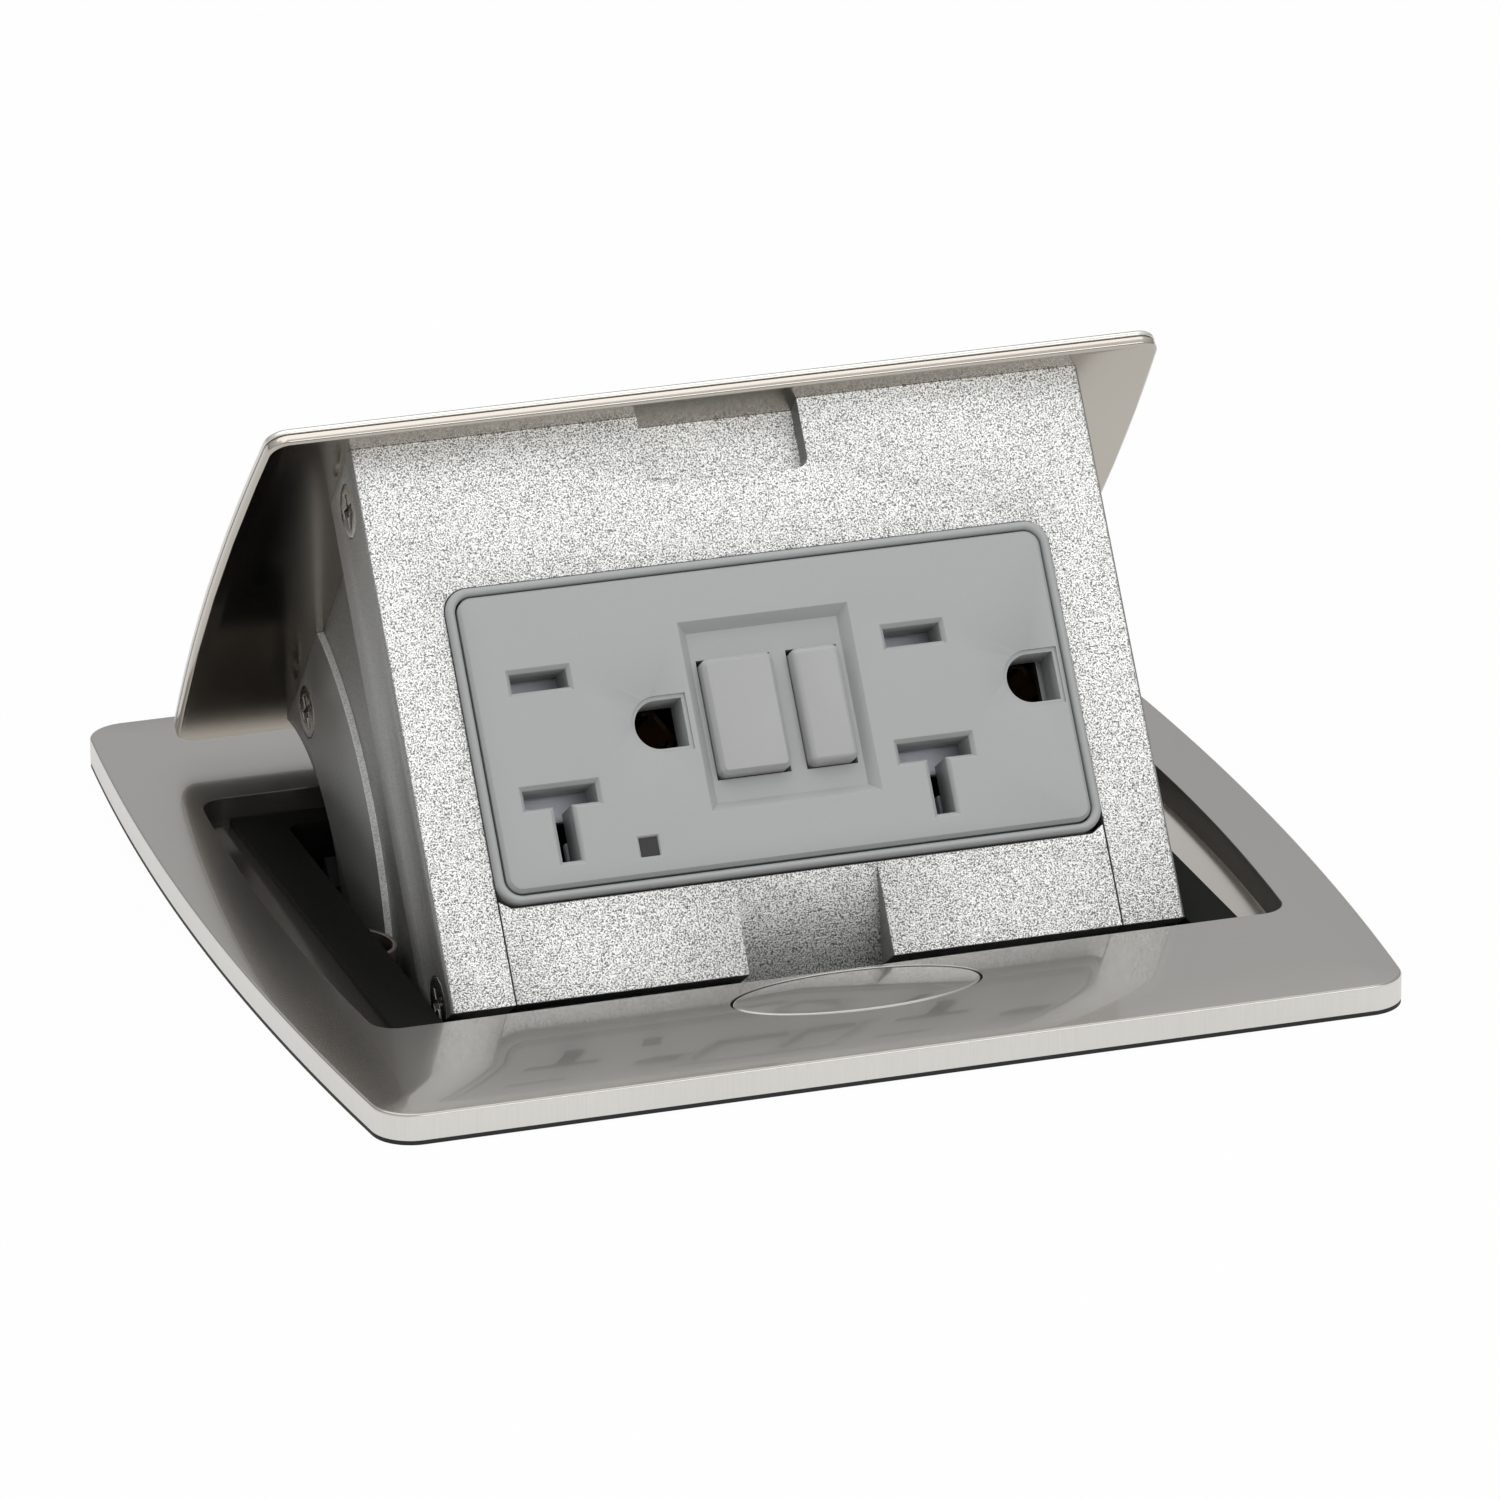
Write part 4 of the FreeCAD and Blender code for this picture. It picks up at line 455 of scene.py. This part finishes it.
def soft_finishes():
    """Plastics, rubber and plain metals."""
    soft = soft_group()
    rows = {
        "grey_plastic": dict(colour=(0.37, 0.381, 0.378), metallic=0.0, bump=7.0e-6,
                             values=skin(2400.0, 0.40, 0.52), coat=0.1),
        "grey_button": dict(colour=(0.375, 0.381, 0.378), metallic=0.0, bump=5.0e-6,
                            values=skin(2400.0, 0.38, 0.48), coat=0.1),
        # Bluish grey is the plastic's own tint; its lightness is raised above its own tone to
        # make up for the shade of the shutters' deep place: painted light
        "shutter_plastic": dict(colour=(0.78, 0.82, 0.88), metallic=0.0, bump=4.0e-6,
                                values=skin(1800.0, 0.42, 0.52)),
        "clear_lens": dict(colour=(0.022, 0.022, 0.022), metallic=0.0, bump=2.0e-6,
                           values=skin(900.0, 0.14, 0.22), gloss=0.2),
        "black_plastic": dict(colour=(0.005, 0.005, 0.004), metallic=0.0, bump=2.4e-5,
                              values=skin(2600.0, 0.60, 0.75, 0.5, 1.8), gloss=0.1),
        "body_plastic": dict(colour=(0.02, 0.02, 0.02), metallic=0.0, bump=1.0e-5,
                             values=skin(1800.0, 0.42, 0.55)),
        "black_rubber": dict(colour=(0.010, 0.010, 0.010), metallic=0.0, bump=1.2e-5,
                             values=skin(2000.0, 0.60, 0.75)),
        "zinc_steel": dict(colour=(0.42, 0.43, 0.44), metallic=1.0, bump=6.0e-6,
                           values=skin(300.0, 0.32, 0.50, 0.85, 1.1)),
        "spring_steel": dict(colour=(0.50, 0.44, 0.39), metallic=1.0, bump=3.0e-6,
                             values=skin(1200.0, 0.28, 0.42)),
        "screw_steel": dict(colour=(0.34, 0.33, 0.31), metallic=1.0, bump=4.0e-6,
                            values=skin(1500.0, 0.20, 0.34)),
        # Brass darkened far below its own colour so that the contacts deep in the holes look near
        # black: painted shade
        "contact_brass": dict(colour=(0.13, 0.085, 0.035), metallic=1.0, bump=3.0e-6,
                              values=skin(900.0, 0.26, 0.38)),
    }
    return {name: dict(group=soft, **row) for name, row in rows.items()}


def make_materials():
    """All the finishes by their names."""
    rows = {**brushed_finishes(), **painted_finishes(), **soft_finishes()}
    return {name: finish_material(name, **row) for name, row in rows.items()}


# Pieces with rounded edges


def stand_in(piece, node):
    """Put the piece in the node's place, with its finish, body and slot."""
    piece.data.materials.append(MATERIALS[SLOT_OF[node]])
    bpy.context.scene.collection.objects.link(piece)
    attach(piece, BODY_OF[node])
    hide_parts(node)
    return piece


def clean_mesh(node, name):
    """The node's surface with its split corners joined and its flats undivided."""
    work = bmesh.new()
    work.from_mesh(NODES[node].data)
    bmesh.ops.remove_doubles(work, verts=work.verts, dist=MERGE_REACH)
    if node not in DIVIDED_FLATS:
        bmesh.ops.dissolve_limit(work, angle_limit=FLAT_ANGLE, verts=work.verts,
                                 edges=work.edges)
    mesh = bpy.data.meshes.new(name)
    work.to_mesh(mesh)
    work.free()
    mesh.materials.clear()
    mesh.shade_smooth()
    return mesh


def softened(node, width):
    """A piece in the node's place with its sharp edges rounded by the given width."""
    name = node + "_soft"
    piece = bpy.data.objects.new(name, clean_mesh(node, name))
    bevel = piece.modifiers.new("edges", "BEVEL")
    bevel.width = width
    bevel.segments = EDGE_SEGMENTS
    bevel.limit_method = "ANGLE"
    bevel.angle_limit = EDGE_ANGLE
    bevel.harden_normals = True
    bevel.use_clamp_overlap = True
    return stand_in(piece, node)


def face_place(point):
    """Distance up the carriage's face and out of it, both from the hinge's centre line."""
    offset = point - PIVOT
    return offset.dot(UP_FACE), offset.dot(OUT_OF_FACE)


def paint(piece, finish, chosen):
    """Give a second finish to the faces that the test picks by centre and normal."""
    mesh = piece.data
    mesh.materials.append(MATERIALS[finish])
    for face in mesh.polygons:
        if chosen(face.center, face.normal):
            face.material_index = len(mesh.materials) - 1


def front_of_face(centre, normal):
    """The front of the carriage's face."""
    return normal.dot(OUT_OF_FACE) > FACING and face_place(centre)[1] > FACE_FRONT - FACE_REACH


def arc_edge(centre, normal):
    """The rounded outer edge of each raised arc, which is given a painted highlight."""
    radial = centre - PIVOT
    radial.x = 0.0
    on_arc = abs(centre.x) > ARC_INNER_X and abs(radial.length - ARC_RADIUS) < ARC_REACH
    return on_arc and abs(normal.x) < SIDEWAYS


def ledge_top(centre, normal):
    """The box's upper face, seen as a metal ledge between the liner and the flange."""
    return normal.z > FACING and centre.z > LEDGE_Z


def outer_wall(centre, normal):
    """The upright outer edge of the flange, whose lighter finish is partly a painted highlight.
    """
    return abs(normal.z) < UPRIGHT and (abs(centre.x) > WALL_X or abs(centre.y) > WALL_Y)


def skin_edge(centre, normal):
    """The cut edges of the lid's skin, all round, whose lighter finish is partly a painted
    highlight.
    """
    return abs(normal.dot(LID_UP)) < SLANTED


def panel_grain(centre, normal):
    """The front of the small panel and its ramp."""
    return normal.dot(OUT_OF_FACE) > SLANTED


def fill_nicks(piece):
    """Bring the small panel's upper corners up beside the receptacle's round corners."""
    spots = piece.data.vertices
    side = max(abs(spot.co.x) for spot in spots) - NICK
    high = max(face_place(spot.co)[0] for spot in spots) - NICK
    for spot in spots:
        aside = abs(abs(spot.co.x) - side)
        below = abs(face_place(spot.co)[0] - high)
        if max(aside, below) < NICK_REACH:
            spot.co += UP_FACE * (NICK + CORNER_RISE)
            spot.co.x = math.copysign(side + NICK, spot.co.x)


# Outlines of the flange


def arc_points(x, y, radius, start, end, count):
    """Points on a circle about x, y between two angles, the last one left out."""
    angle = np.linspace(start, end, count, endpoint=False)
    return np.column_stack((x + radius * np.cos(angle), y + radius * np.sin(angle)))


def bowed_loop(edge, inset):
    """Outline with straight front and rear, bowed sides and round corners.

    Each side is an arc of radius (h*h + b*b) / 2b for half length h and bow b. A corner circle
    touches the arc from inside and the straight edge. The inset shrinks the outline evenly and
    widens its corners by a share of itself; a negative one grows it and widens them by all of
    itself. The second half of the loop is the first one mirrored through the middle.
    """
    half_x, low, high, bow, corner = edge
    half_x, low, high = half_x - inset, low + inset, high - inset
    corner += CORNER_GAIN * inset if inset > 0 else -inset
    half = (high - low) / 2
    radius = (half * half + bow * bow) / (2 * bow)
    centre = half_x + bow - radius
    corner_x = centre + math.sqrt((radius - corner) ** 2 - (half - corner) ** 2)
    corner_y = half - corner
    meet = math.atan2(corner_y, corner_x - centre)
    turn = math.pi / 2
    across = np.linspace(corner_x, -corner_x, EDGE_STEPS, endpoint=False)
    first = np.vstack((
        arc_points(centre, 0.0, radius, -meet, meet, SIDE_STEPS),
        arc_points(corner_x, corner_y, corner, meet, turn, CORNER_STEPS),
        np.column_stack((across, np.full(EDGE_STEPS, half))),
        arc_points(-corner_x, corner_y, corner, turn, 2 * turn - meet, CORNER_STEPS)))
    return np.vstack((first, -first)) + (0.0, (low + high) / 2)


def loop_normals(ring):
    """Unit normals of an anticlockwise loop, pointing away from its middle."""
    along = np.roll(ring, -1, axis=0) - np.roll(ring, 1, axis=0)
    out = np.column_stack((along[:, 1], -along[:, 0]))
    return out / np.linalg.norm(out, axis=1)[:, None]


def oval_loop(grow):
    """Edge of the button hole, an ellipse moved outwards by grow along its normals."""
    a, b, y = BUTTON_HOLE
    angle = np.linspace(0.0, 2 * math.pi, OVAL_STEPS, endpoint=False)
    ring = np.column_stack((a * np.cos(angle), b * np.sin(angle)))
    out = np.column_stack((np.cos(angle) / a, np.sin(angle) / b))
    out /= np.linalg.norm(out, axis=1)[:, None]
    return ring + out * grow + (0.0, y)


def crown(points):
    """Height and normal of the flange's top at each point.

    It lies flat farther than the crown's width from the edge. Towards the edge it falls by the
    crown's drop times the square of the share of that width.
    """
    edge = bowed_loop(FLANGE_EDGE, 0.0)
    nearest = np.full(len(points), np.inf)
    toward = np.zeros((len(points), 2))
    for a, b in zip(edge, np.roll(edge, -1, axis=0)):
        run = b - a
        along = np.clip((points - a) @ run / (run @ run), 0.0, 1.0)
        gap = a + along[:, None] * run - points
        far = np.linalg.norm(gap, axis=1)
        closer = far < nearest
        nearest[closer] = far[closer]
        toward[closer] = gap[closer] / np.maximum(far[closer], TINY)[:, None]
    share = np.clip(1.0 - nearest / CROWN_WIDE, 0.0, 1.0)
    height = FLANGE_TOP - CROWN_DROP * share ** 2
    slope = 2 * CROWN_DROP * share / CROWN_WIDE
    normal = np.column_stack((toward * slope[:, None], np.ones(len(points))))
    return height, normal / np.linalg.norm(normal, axis=1)[:, None]


def flat_side(height, up):
    """Function that gives the height and the normal of a flat side at each point."""
    def shape(points):
        return np.full(len(points), height), np.tile((0.0, 0.0, up), (len(points), 1))
    return shape


def inside(points, ring):
    """True where a point lies in the loop: an odd number of its edges lie to one side."""
    odd = np.zeros(len(points), bool)
    for a, b in zip(ring, np.roll(ring, -1, axis=0)):
        crosses = (a[1] > points[:, 1]) != (b[1] > points[:, 1])
        if crosses.any():
            x = a[0] + (points[:, 1] - a[1]) * (b[0] - a[0]) / (b[1] - a[1])
            odd ^= crosses & (points[:, 0] < x)
    return odd


class Sheet:
    """Corner points, their normals and the faces of a piece that is being computed."""

    def __init__(self):
        self.points = []
        self.normals = []
        self.faces = []
        self.count = 0

    def add(self, points, normals):
        """Add corner points and say where they start."""
        start = self.count
        self.points.append(points)
        self.normals.append(normals)
        self.count += len(points)
        return start

    def band(self, rows, inward):
        """Quads between anticlockwise loops from the top down, facing into the loop or out.

        Each row is a pair of points and normals.
        """
        starts = [self.add(points, normals) for points, normals in rows]
        here = np.arange(len(rows[0][0]))
        after = np.roll(here, -1)
        for upper, lower in zip(starts, starts[1:]):
            quads = np.column_stack((upper + here, upper + after, lower + after, lower + here))
            self.faces += (quads if inward else quads[:, ::-1]).tolist()

    def fill(self, outer, holes, extra, shape, upward):
        """Triangles inside the outer loop and outside the holes.

        Extra points divide them further, and shape gives the heights and normals.
        """
        loops = [outer] + holes
        edges = []
        start = 0
        for loop in loops:
            size = len(loop)
            edges += [(start + k, start + (k + 1) % size) for k in range(size)]
            start += size
        flat = [Vector(point) for point in np.vstack(loops + [extra])]
        only_inside = 1
        closest = 1e-6
        made = delaunay_2d_cdt(flat, edges, [], only_inside, closest)
        spots = np.array([tuple(point) for point in made[0]])
        trios = np.array([tuple(face) for face in made[2]])
        middles = spots[trios].mean(axis=1)
        keep = np.ones(len(trios), bool)
        for hole in holes:
            keep &= ~inside(middles, hole)
        height, normals = shape(spots)
        trios = trios[keep] + self.add(np.column_stack((spots, height)), normals)
        self.faces += (trios if upward else trios[:, ::-1]).tolist()

    def piece(self, name, node):
        """The finished piece in the place of the node, turned from millimetres to metres."""
        mesh = bpy.data.meshes.new(name)
        mesh.from_pydata((np.vstack(self.points) * MM).tolist(), [], self.faces)
        mesh.shade_smooth()
        mesh.normals_split_custom_set_from_vertices(np.vstack(self.normals).tolist())
        return stand_in(bpy.data.objects.new(name, mesh), node)


def straight_rows(ring, high, low, sign):
    """Rows of an upright wall; sign is 1 where it faces out of the loop and -1 where into it."""
    out = np.column_stack((loop_normals(ring) * sign, np.zeros(len(ring))))
    return [(np.column_stack((ring, np.full(len(ring), z))), out) for z in (high, low)]


def round_rows(loop_at, radius, sign, tilt):
    """Rows from a top edge down to the underside: an arc of a circle, then the straight wall.

    The arc starts square to the top, which slopes by the tilt there, and ends in the wall. The
    sign is 1 where the wall faces out of the loop and -1 where into it.
    """
    base = loop_at(0.0)
    away = loop_normals(base) * sign
    top = crown(loop_at(radius * (1.0 - math.sin(tilt))))[0]
    rows = []
    for k in range(ROUND_STEPS + 1):
        phi = tilt + (math.pi / 2 - tilt) * k / ROUND_STEPS
        spots = loop_at(radius * (1.0 - math.sin(phi)))
        height = top - radius * (math.cos(tilt) - math.cos(phi))
        normals = np.column_stack((away * math.sin(phi), np.full(len(base), math.cos(phi))))
        rows.append((np.column_stack((spots, height)), normals))
    foot = np.column_stack((base, np.full(len(base), FLANGE_LOW)))
    rows.append((foot, rows[-1][1]))
    return rows


def flange_piece():
    """Cover flange with a smooth crown round its border and rounded edges at every opening.

    Outlines at even insets divide the crown, so that its surface follows the formula of crown.
    """
    sheet = Sheet()
    tilt = math.atan(2 * CROWN_DROP / CROWN_WIDE)

    def outer(inset):
        return bowed_loop(FLANGE_EDGE, inset)

    def opening(grow):
        return bowed_loop(OPENING_EDGE, -grow)

    sheet.band(round_rows(outer, FLANGE_ROUND, 1.0, tilt), False)
    sheet.band(round_rows(opening, OPENING_ROUND, -1.0, 0.0), True)
    sheet.band(round_rows(oval_loop, HOLE_ROUND, -1.0, 0.0), True)
    insets = np.arange(RING_GAP, CROWN_WIDE + RING_GAP / 2, RING_GAP)
    extra = np.vstack([outer(inset)[::2] for inset in insets])
    extra = extra[~inside(extra, opening(RING_GAP))]
    sheet.fill(outer(FLANGE_ROUND * (1.0 - math.sin(tilt))),
               [opening(OPENING_ROUND), oval_loop(HOLE_ROUND)], extra, crown, True)
    sheet.fill(outer(0.0), [opening(0.0), oval_loop(0.0)], extra,
               flat_side(FLANGE_LOW, -1.0), False)
    return sheet.piece("cover_flange_crowned", "cover_flange")


def gasket_piece():
    """Flat rubber ring whose outer edge is flush with the flange."""
    sheet = Sheet()
    outer = bowed_loop(FLANGE_EDGE, GASKET_INSET)
    hole = bowed_loop(GASKET_HOLE, 0.0)
    no_extra = np.empty((0, 2))
    sheet.band(straight_rows(outer, FLANGE_LOW, GASKET_LOW, 1.0), False)
    sheet.band(straight_rows(hole, FLANGE_LOW, GASKET_LOW, -1.0), True)
    sheet.fill(outer, [hole], no_extra, flat_side(FLANGE_LOW, 1.0), True)
    sheet.fill(outer, [hole], no_extra, flat_side(GASKET_LOW, -1.0), False)
    return sheet.piece("floor_gasket_flush", "floor_gasket")


def make_pieces():
    """Rounded pieces for what shows, and finishes for the rest."""
    for node, obj in NODES.items():
        obj.data.materials.clear()
        obj.data.materials.append(MATERIALS[SLOT_OF[node]])
    casting = softened("carriage_frame", width=0.00022)
    paint(casting, "silver_grain", front_of_face)
    # The arcs' edges get a painted highlight
    paint(casting, "silver_edge_highlight", arc_edge)
    panel = softened("ramp_panel", width=0.00015)
    fill_nicks(panel)
    paint(panel, "silver_grain", panel_grain)
    paint(softened("floor_box", width=0.0003), "ledge_metal", ledge_top)
    paint(flange_piece(), "nickel_edge_hairs_and_highlight", outer_wall)
    gasket_piece()
    softened("oval_button", width=0.00012)
    paint(softened("lid_skin", width=0.00012), "nickel_edge_hairs_and_highlight", skin_edge)
    for node, width in PLAIN_EDGES.items():
        softened(node, width)


# Surroundings


def floor_sheet():
    """Pale floor level with the gasket's underside, cut out where the box goes down.

    To the camera it is almost white, and in reflections it is brightened.
    """
    outer = 1.6
    half_x = 0.0552
    half_y = 0.0572
    camera_share = 0.97
    mirror_share = 0.65
    ring = [(-half_x, -half_y), (half_x, -half_y), (half_x, half_y), (-half_x, half_y)]
    far = [(-outer, -outer), (outer, -outer), (outer, outer), (-outer, outer)]
    points = [(x, y, FLOOR_Z) for x, y in ring + far]
    faces = [(4 + k, 4 + (k + 1) % 4, (k + 1) % 4, k) for k in range(4)]
    mesh = bpy.data.meshes.new("floor")
    mesh.from_pydata(points, [], faces)
    floor = bpy.data.objects.new("floor", mesh)
    bpy.context.scene.collection.objects.link(floor)
    material = bpy.data.materials.new("floor")
    material.use_nodes = True
    tree = material.node_tree
    shader = tree.nodes["Principled BSDF"]
    shader.inputs["Base Color"].default_value = (0.62, 0.62, 0.60, 1.0)
    shader.inputs["Roughness"].default_value = 0.8
    glow = tree.nodes.new("ShaderNodeEmission")
    glow.inputs["Color"].default_value = (1.0, 1.0, 1.0, 1.0)
    path = tree.nodes.new("ShaderNodeLightPath")
    mix = tree.nodes.new("ShaderNodeMixShader")
    seen = math_node(tree, "MULTIPLY", path.outputs["Is Camera Ray"], camera_share)
    mirrored = math_node(tree, "MULTIPLY", path.outputs["Is Glossy Ray"], mirror_share)
    share = math_node(tree, "ADD", seen, mirrored, clamp=True)
    tree.links.new(share, mix.inputs[0])
    tree.links.new(shader.outputs[0], mix.inputs[1])
    tree.links.new(glow.outputs[0], mix.inputs[2])
    tree.links.new(mix.outputs[0], tree.nodes["Material Output"].inputs["Surface"])
    mesh.materials.append(material)


def make_world():
    """White to the camera; a soft studio to the object, bright above and dim low down.

    Each step of the studio is a height, from 0 straight below to 1 straight above, and a grey.
    """
    steps = ((0.40, 0.05), (0.62, 0.55), (0.98, 0.95))
    world = bpy.data.worlds.new("studio")
    bpy.context.scene.world = world
    world.use_nodes = True
    tree = world.node_tree
    tree.nodes.clear()
    coords = tree.nodes.new("ShaderNodeTexCoord")
    split = tree.nodes.new("ShaderNodeSeparateXYZ")
    tree.links.new(coords.outputs["Generated"], split.inputs[0])
    ramp = tree.nodes.new("ShaderNodeValToRGB")
    stops = ramp.color_ramp.elements
    stops.new(steps[1][0])
    for k, (place, grey) in enumerate(steps):
        stops[k].position = place
        stops[k].color = (grey, grey, grey, 1.0)
    height = tree.nodes.new("ShaderNodeMapRange")
    height.inputs["From Min"].default_value = -1.0
    tree.links.new(split.outputs["Z"], height.inputs["Value"])
    tree.links.new(height.outputs["Result"], ramp.inputs["Fac"])
    dim = tree.nodes.new("ShaderNodeBackground")
    tree.links.new(ramp.outputs["Color"], dim.inputs["Color"])
    white = tree.nodes.new("ShaderNodeBackground")
    white.inputs["Color"].default_value = (1.0, 1.0, 1.0, 1.0)
    path = tree.nodes.new("ShaderNodeLightPath")
    mix = tree.nodes.new("ShaderNodeMixShader")
    tree.links.new(path.outputs["Is Camera Ray"], mix.inputs[0])
    tree.links.new(dim.outputs[0], mix.inputs[1])
    tree.links.new(white.outputs[0], mix.inputs[2])
    end = tree.nodes.new("ShaderNodeOutputWorld")
    tree.links.new(mix.outputs[0], end.inputs["Surface"])


def soft_box(name, place, aim, width, length, power):
    """Rectangular studio light that looks at a point."""
    data = bpy.data.lights.new(name, "AREA")
    data.shape = "RECTANGLE"
    data.size = width
    data.size_y = length
    data.energy = power
    lamp = bpy.data.objects.new(name, data)
    lamp.location = place
    way = Vector(aim) - Vector(place)
    lamp.rotation_mode = "QUATERNION"
    lamp.rotation_quaternion = way.to_track_quat("-Z", "Y")
    bpy.context.scene.collection.objects.link(lamp)


def make_lights():
    """Two soft boxes: one in front and above, a larger one over the part and its rear."""
    aim = (0.0, 0.0, 0.09)
    soft_box("front_light", (0.45, -1.0, 0.85), aim, width=0.9, length=0.7, power=3.6)
    soft_box("top_light", (-0.1, 0.2, 1.2), aim, width=1.5, length=1.2, power=5.4)


def set_view():
    """Plain colour handling."""
    bpy.context.scene.view_settings.view_transform = "Standard"


clear_default_objects()
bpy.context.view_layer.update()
make_camera()
set_view()
MATERIALS = make_materials()
make_pieces()
floor_sheet()
make_world()
make_lights()
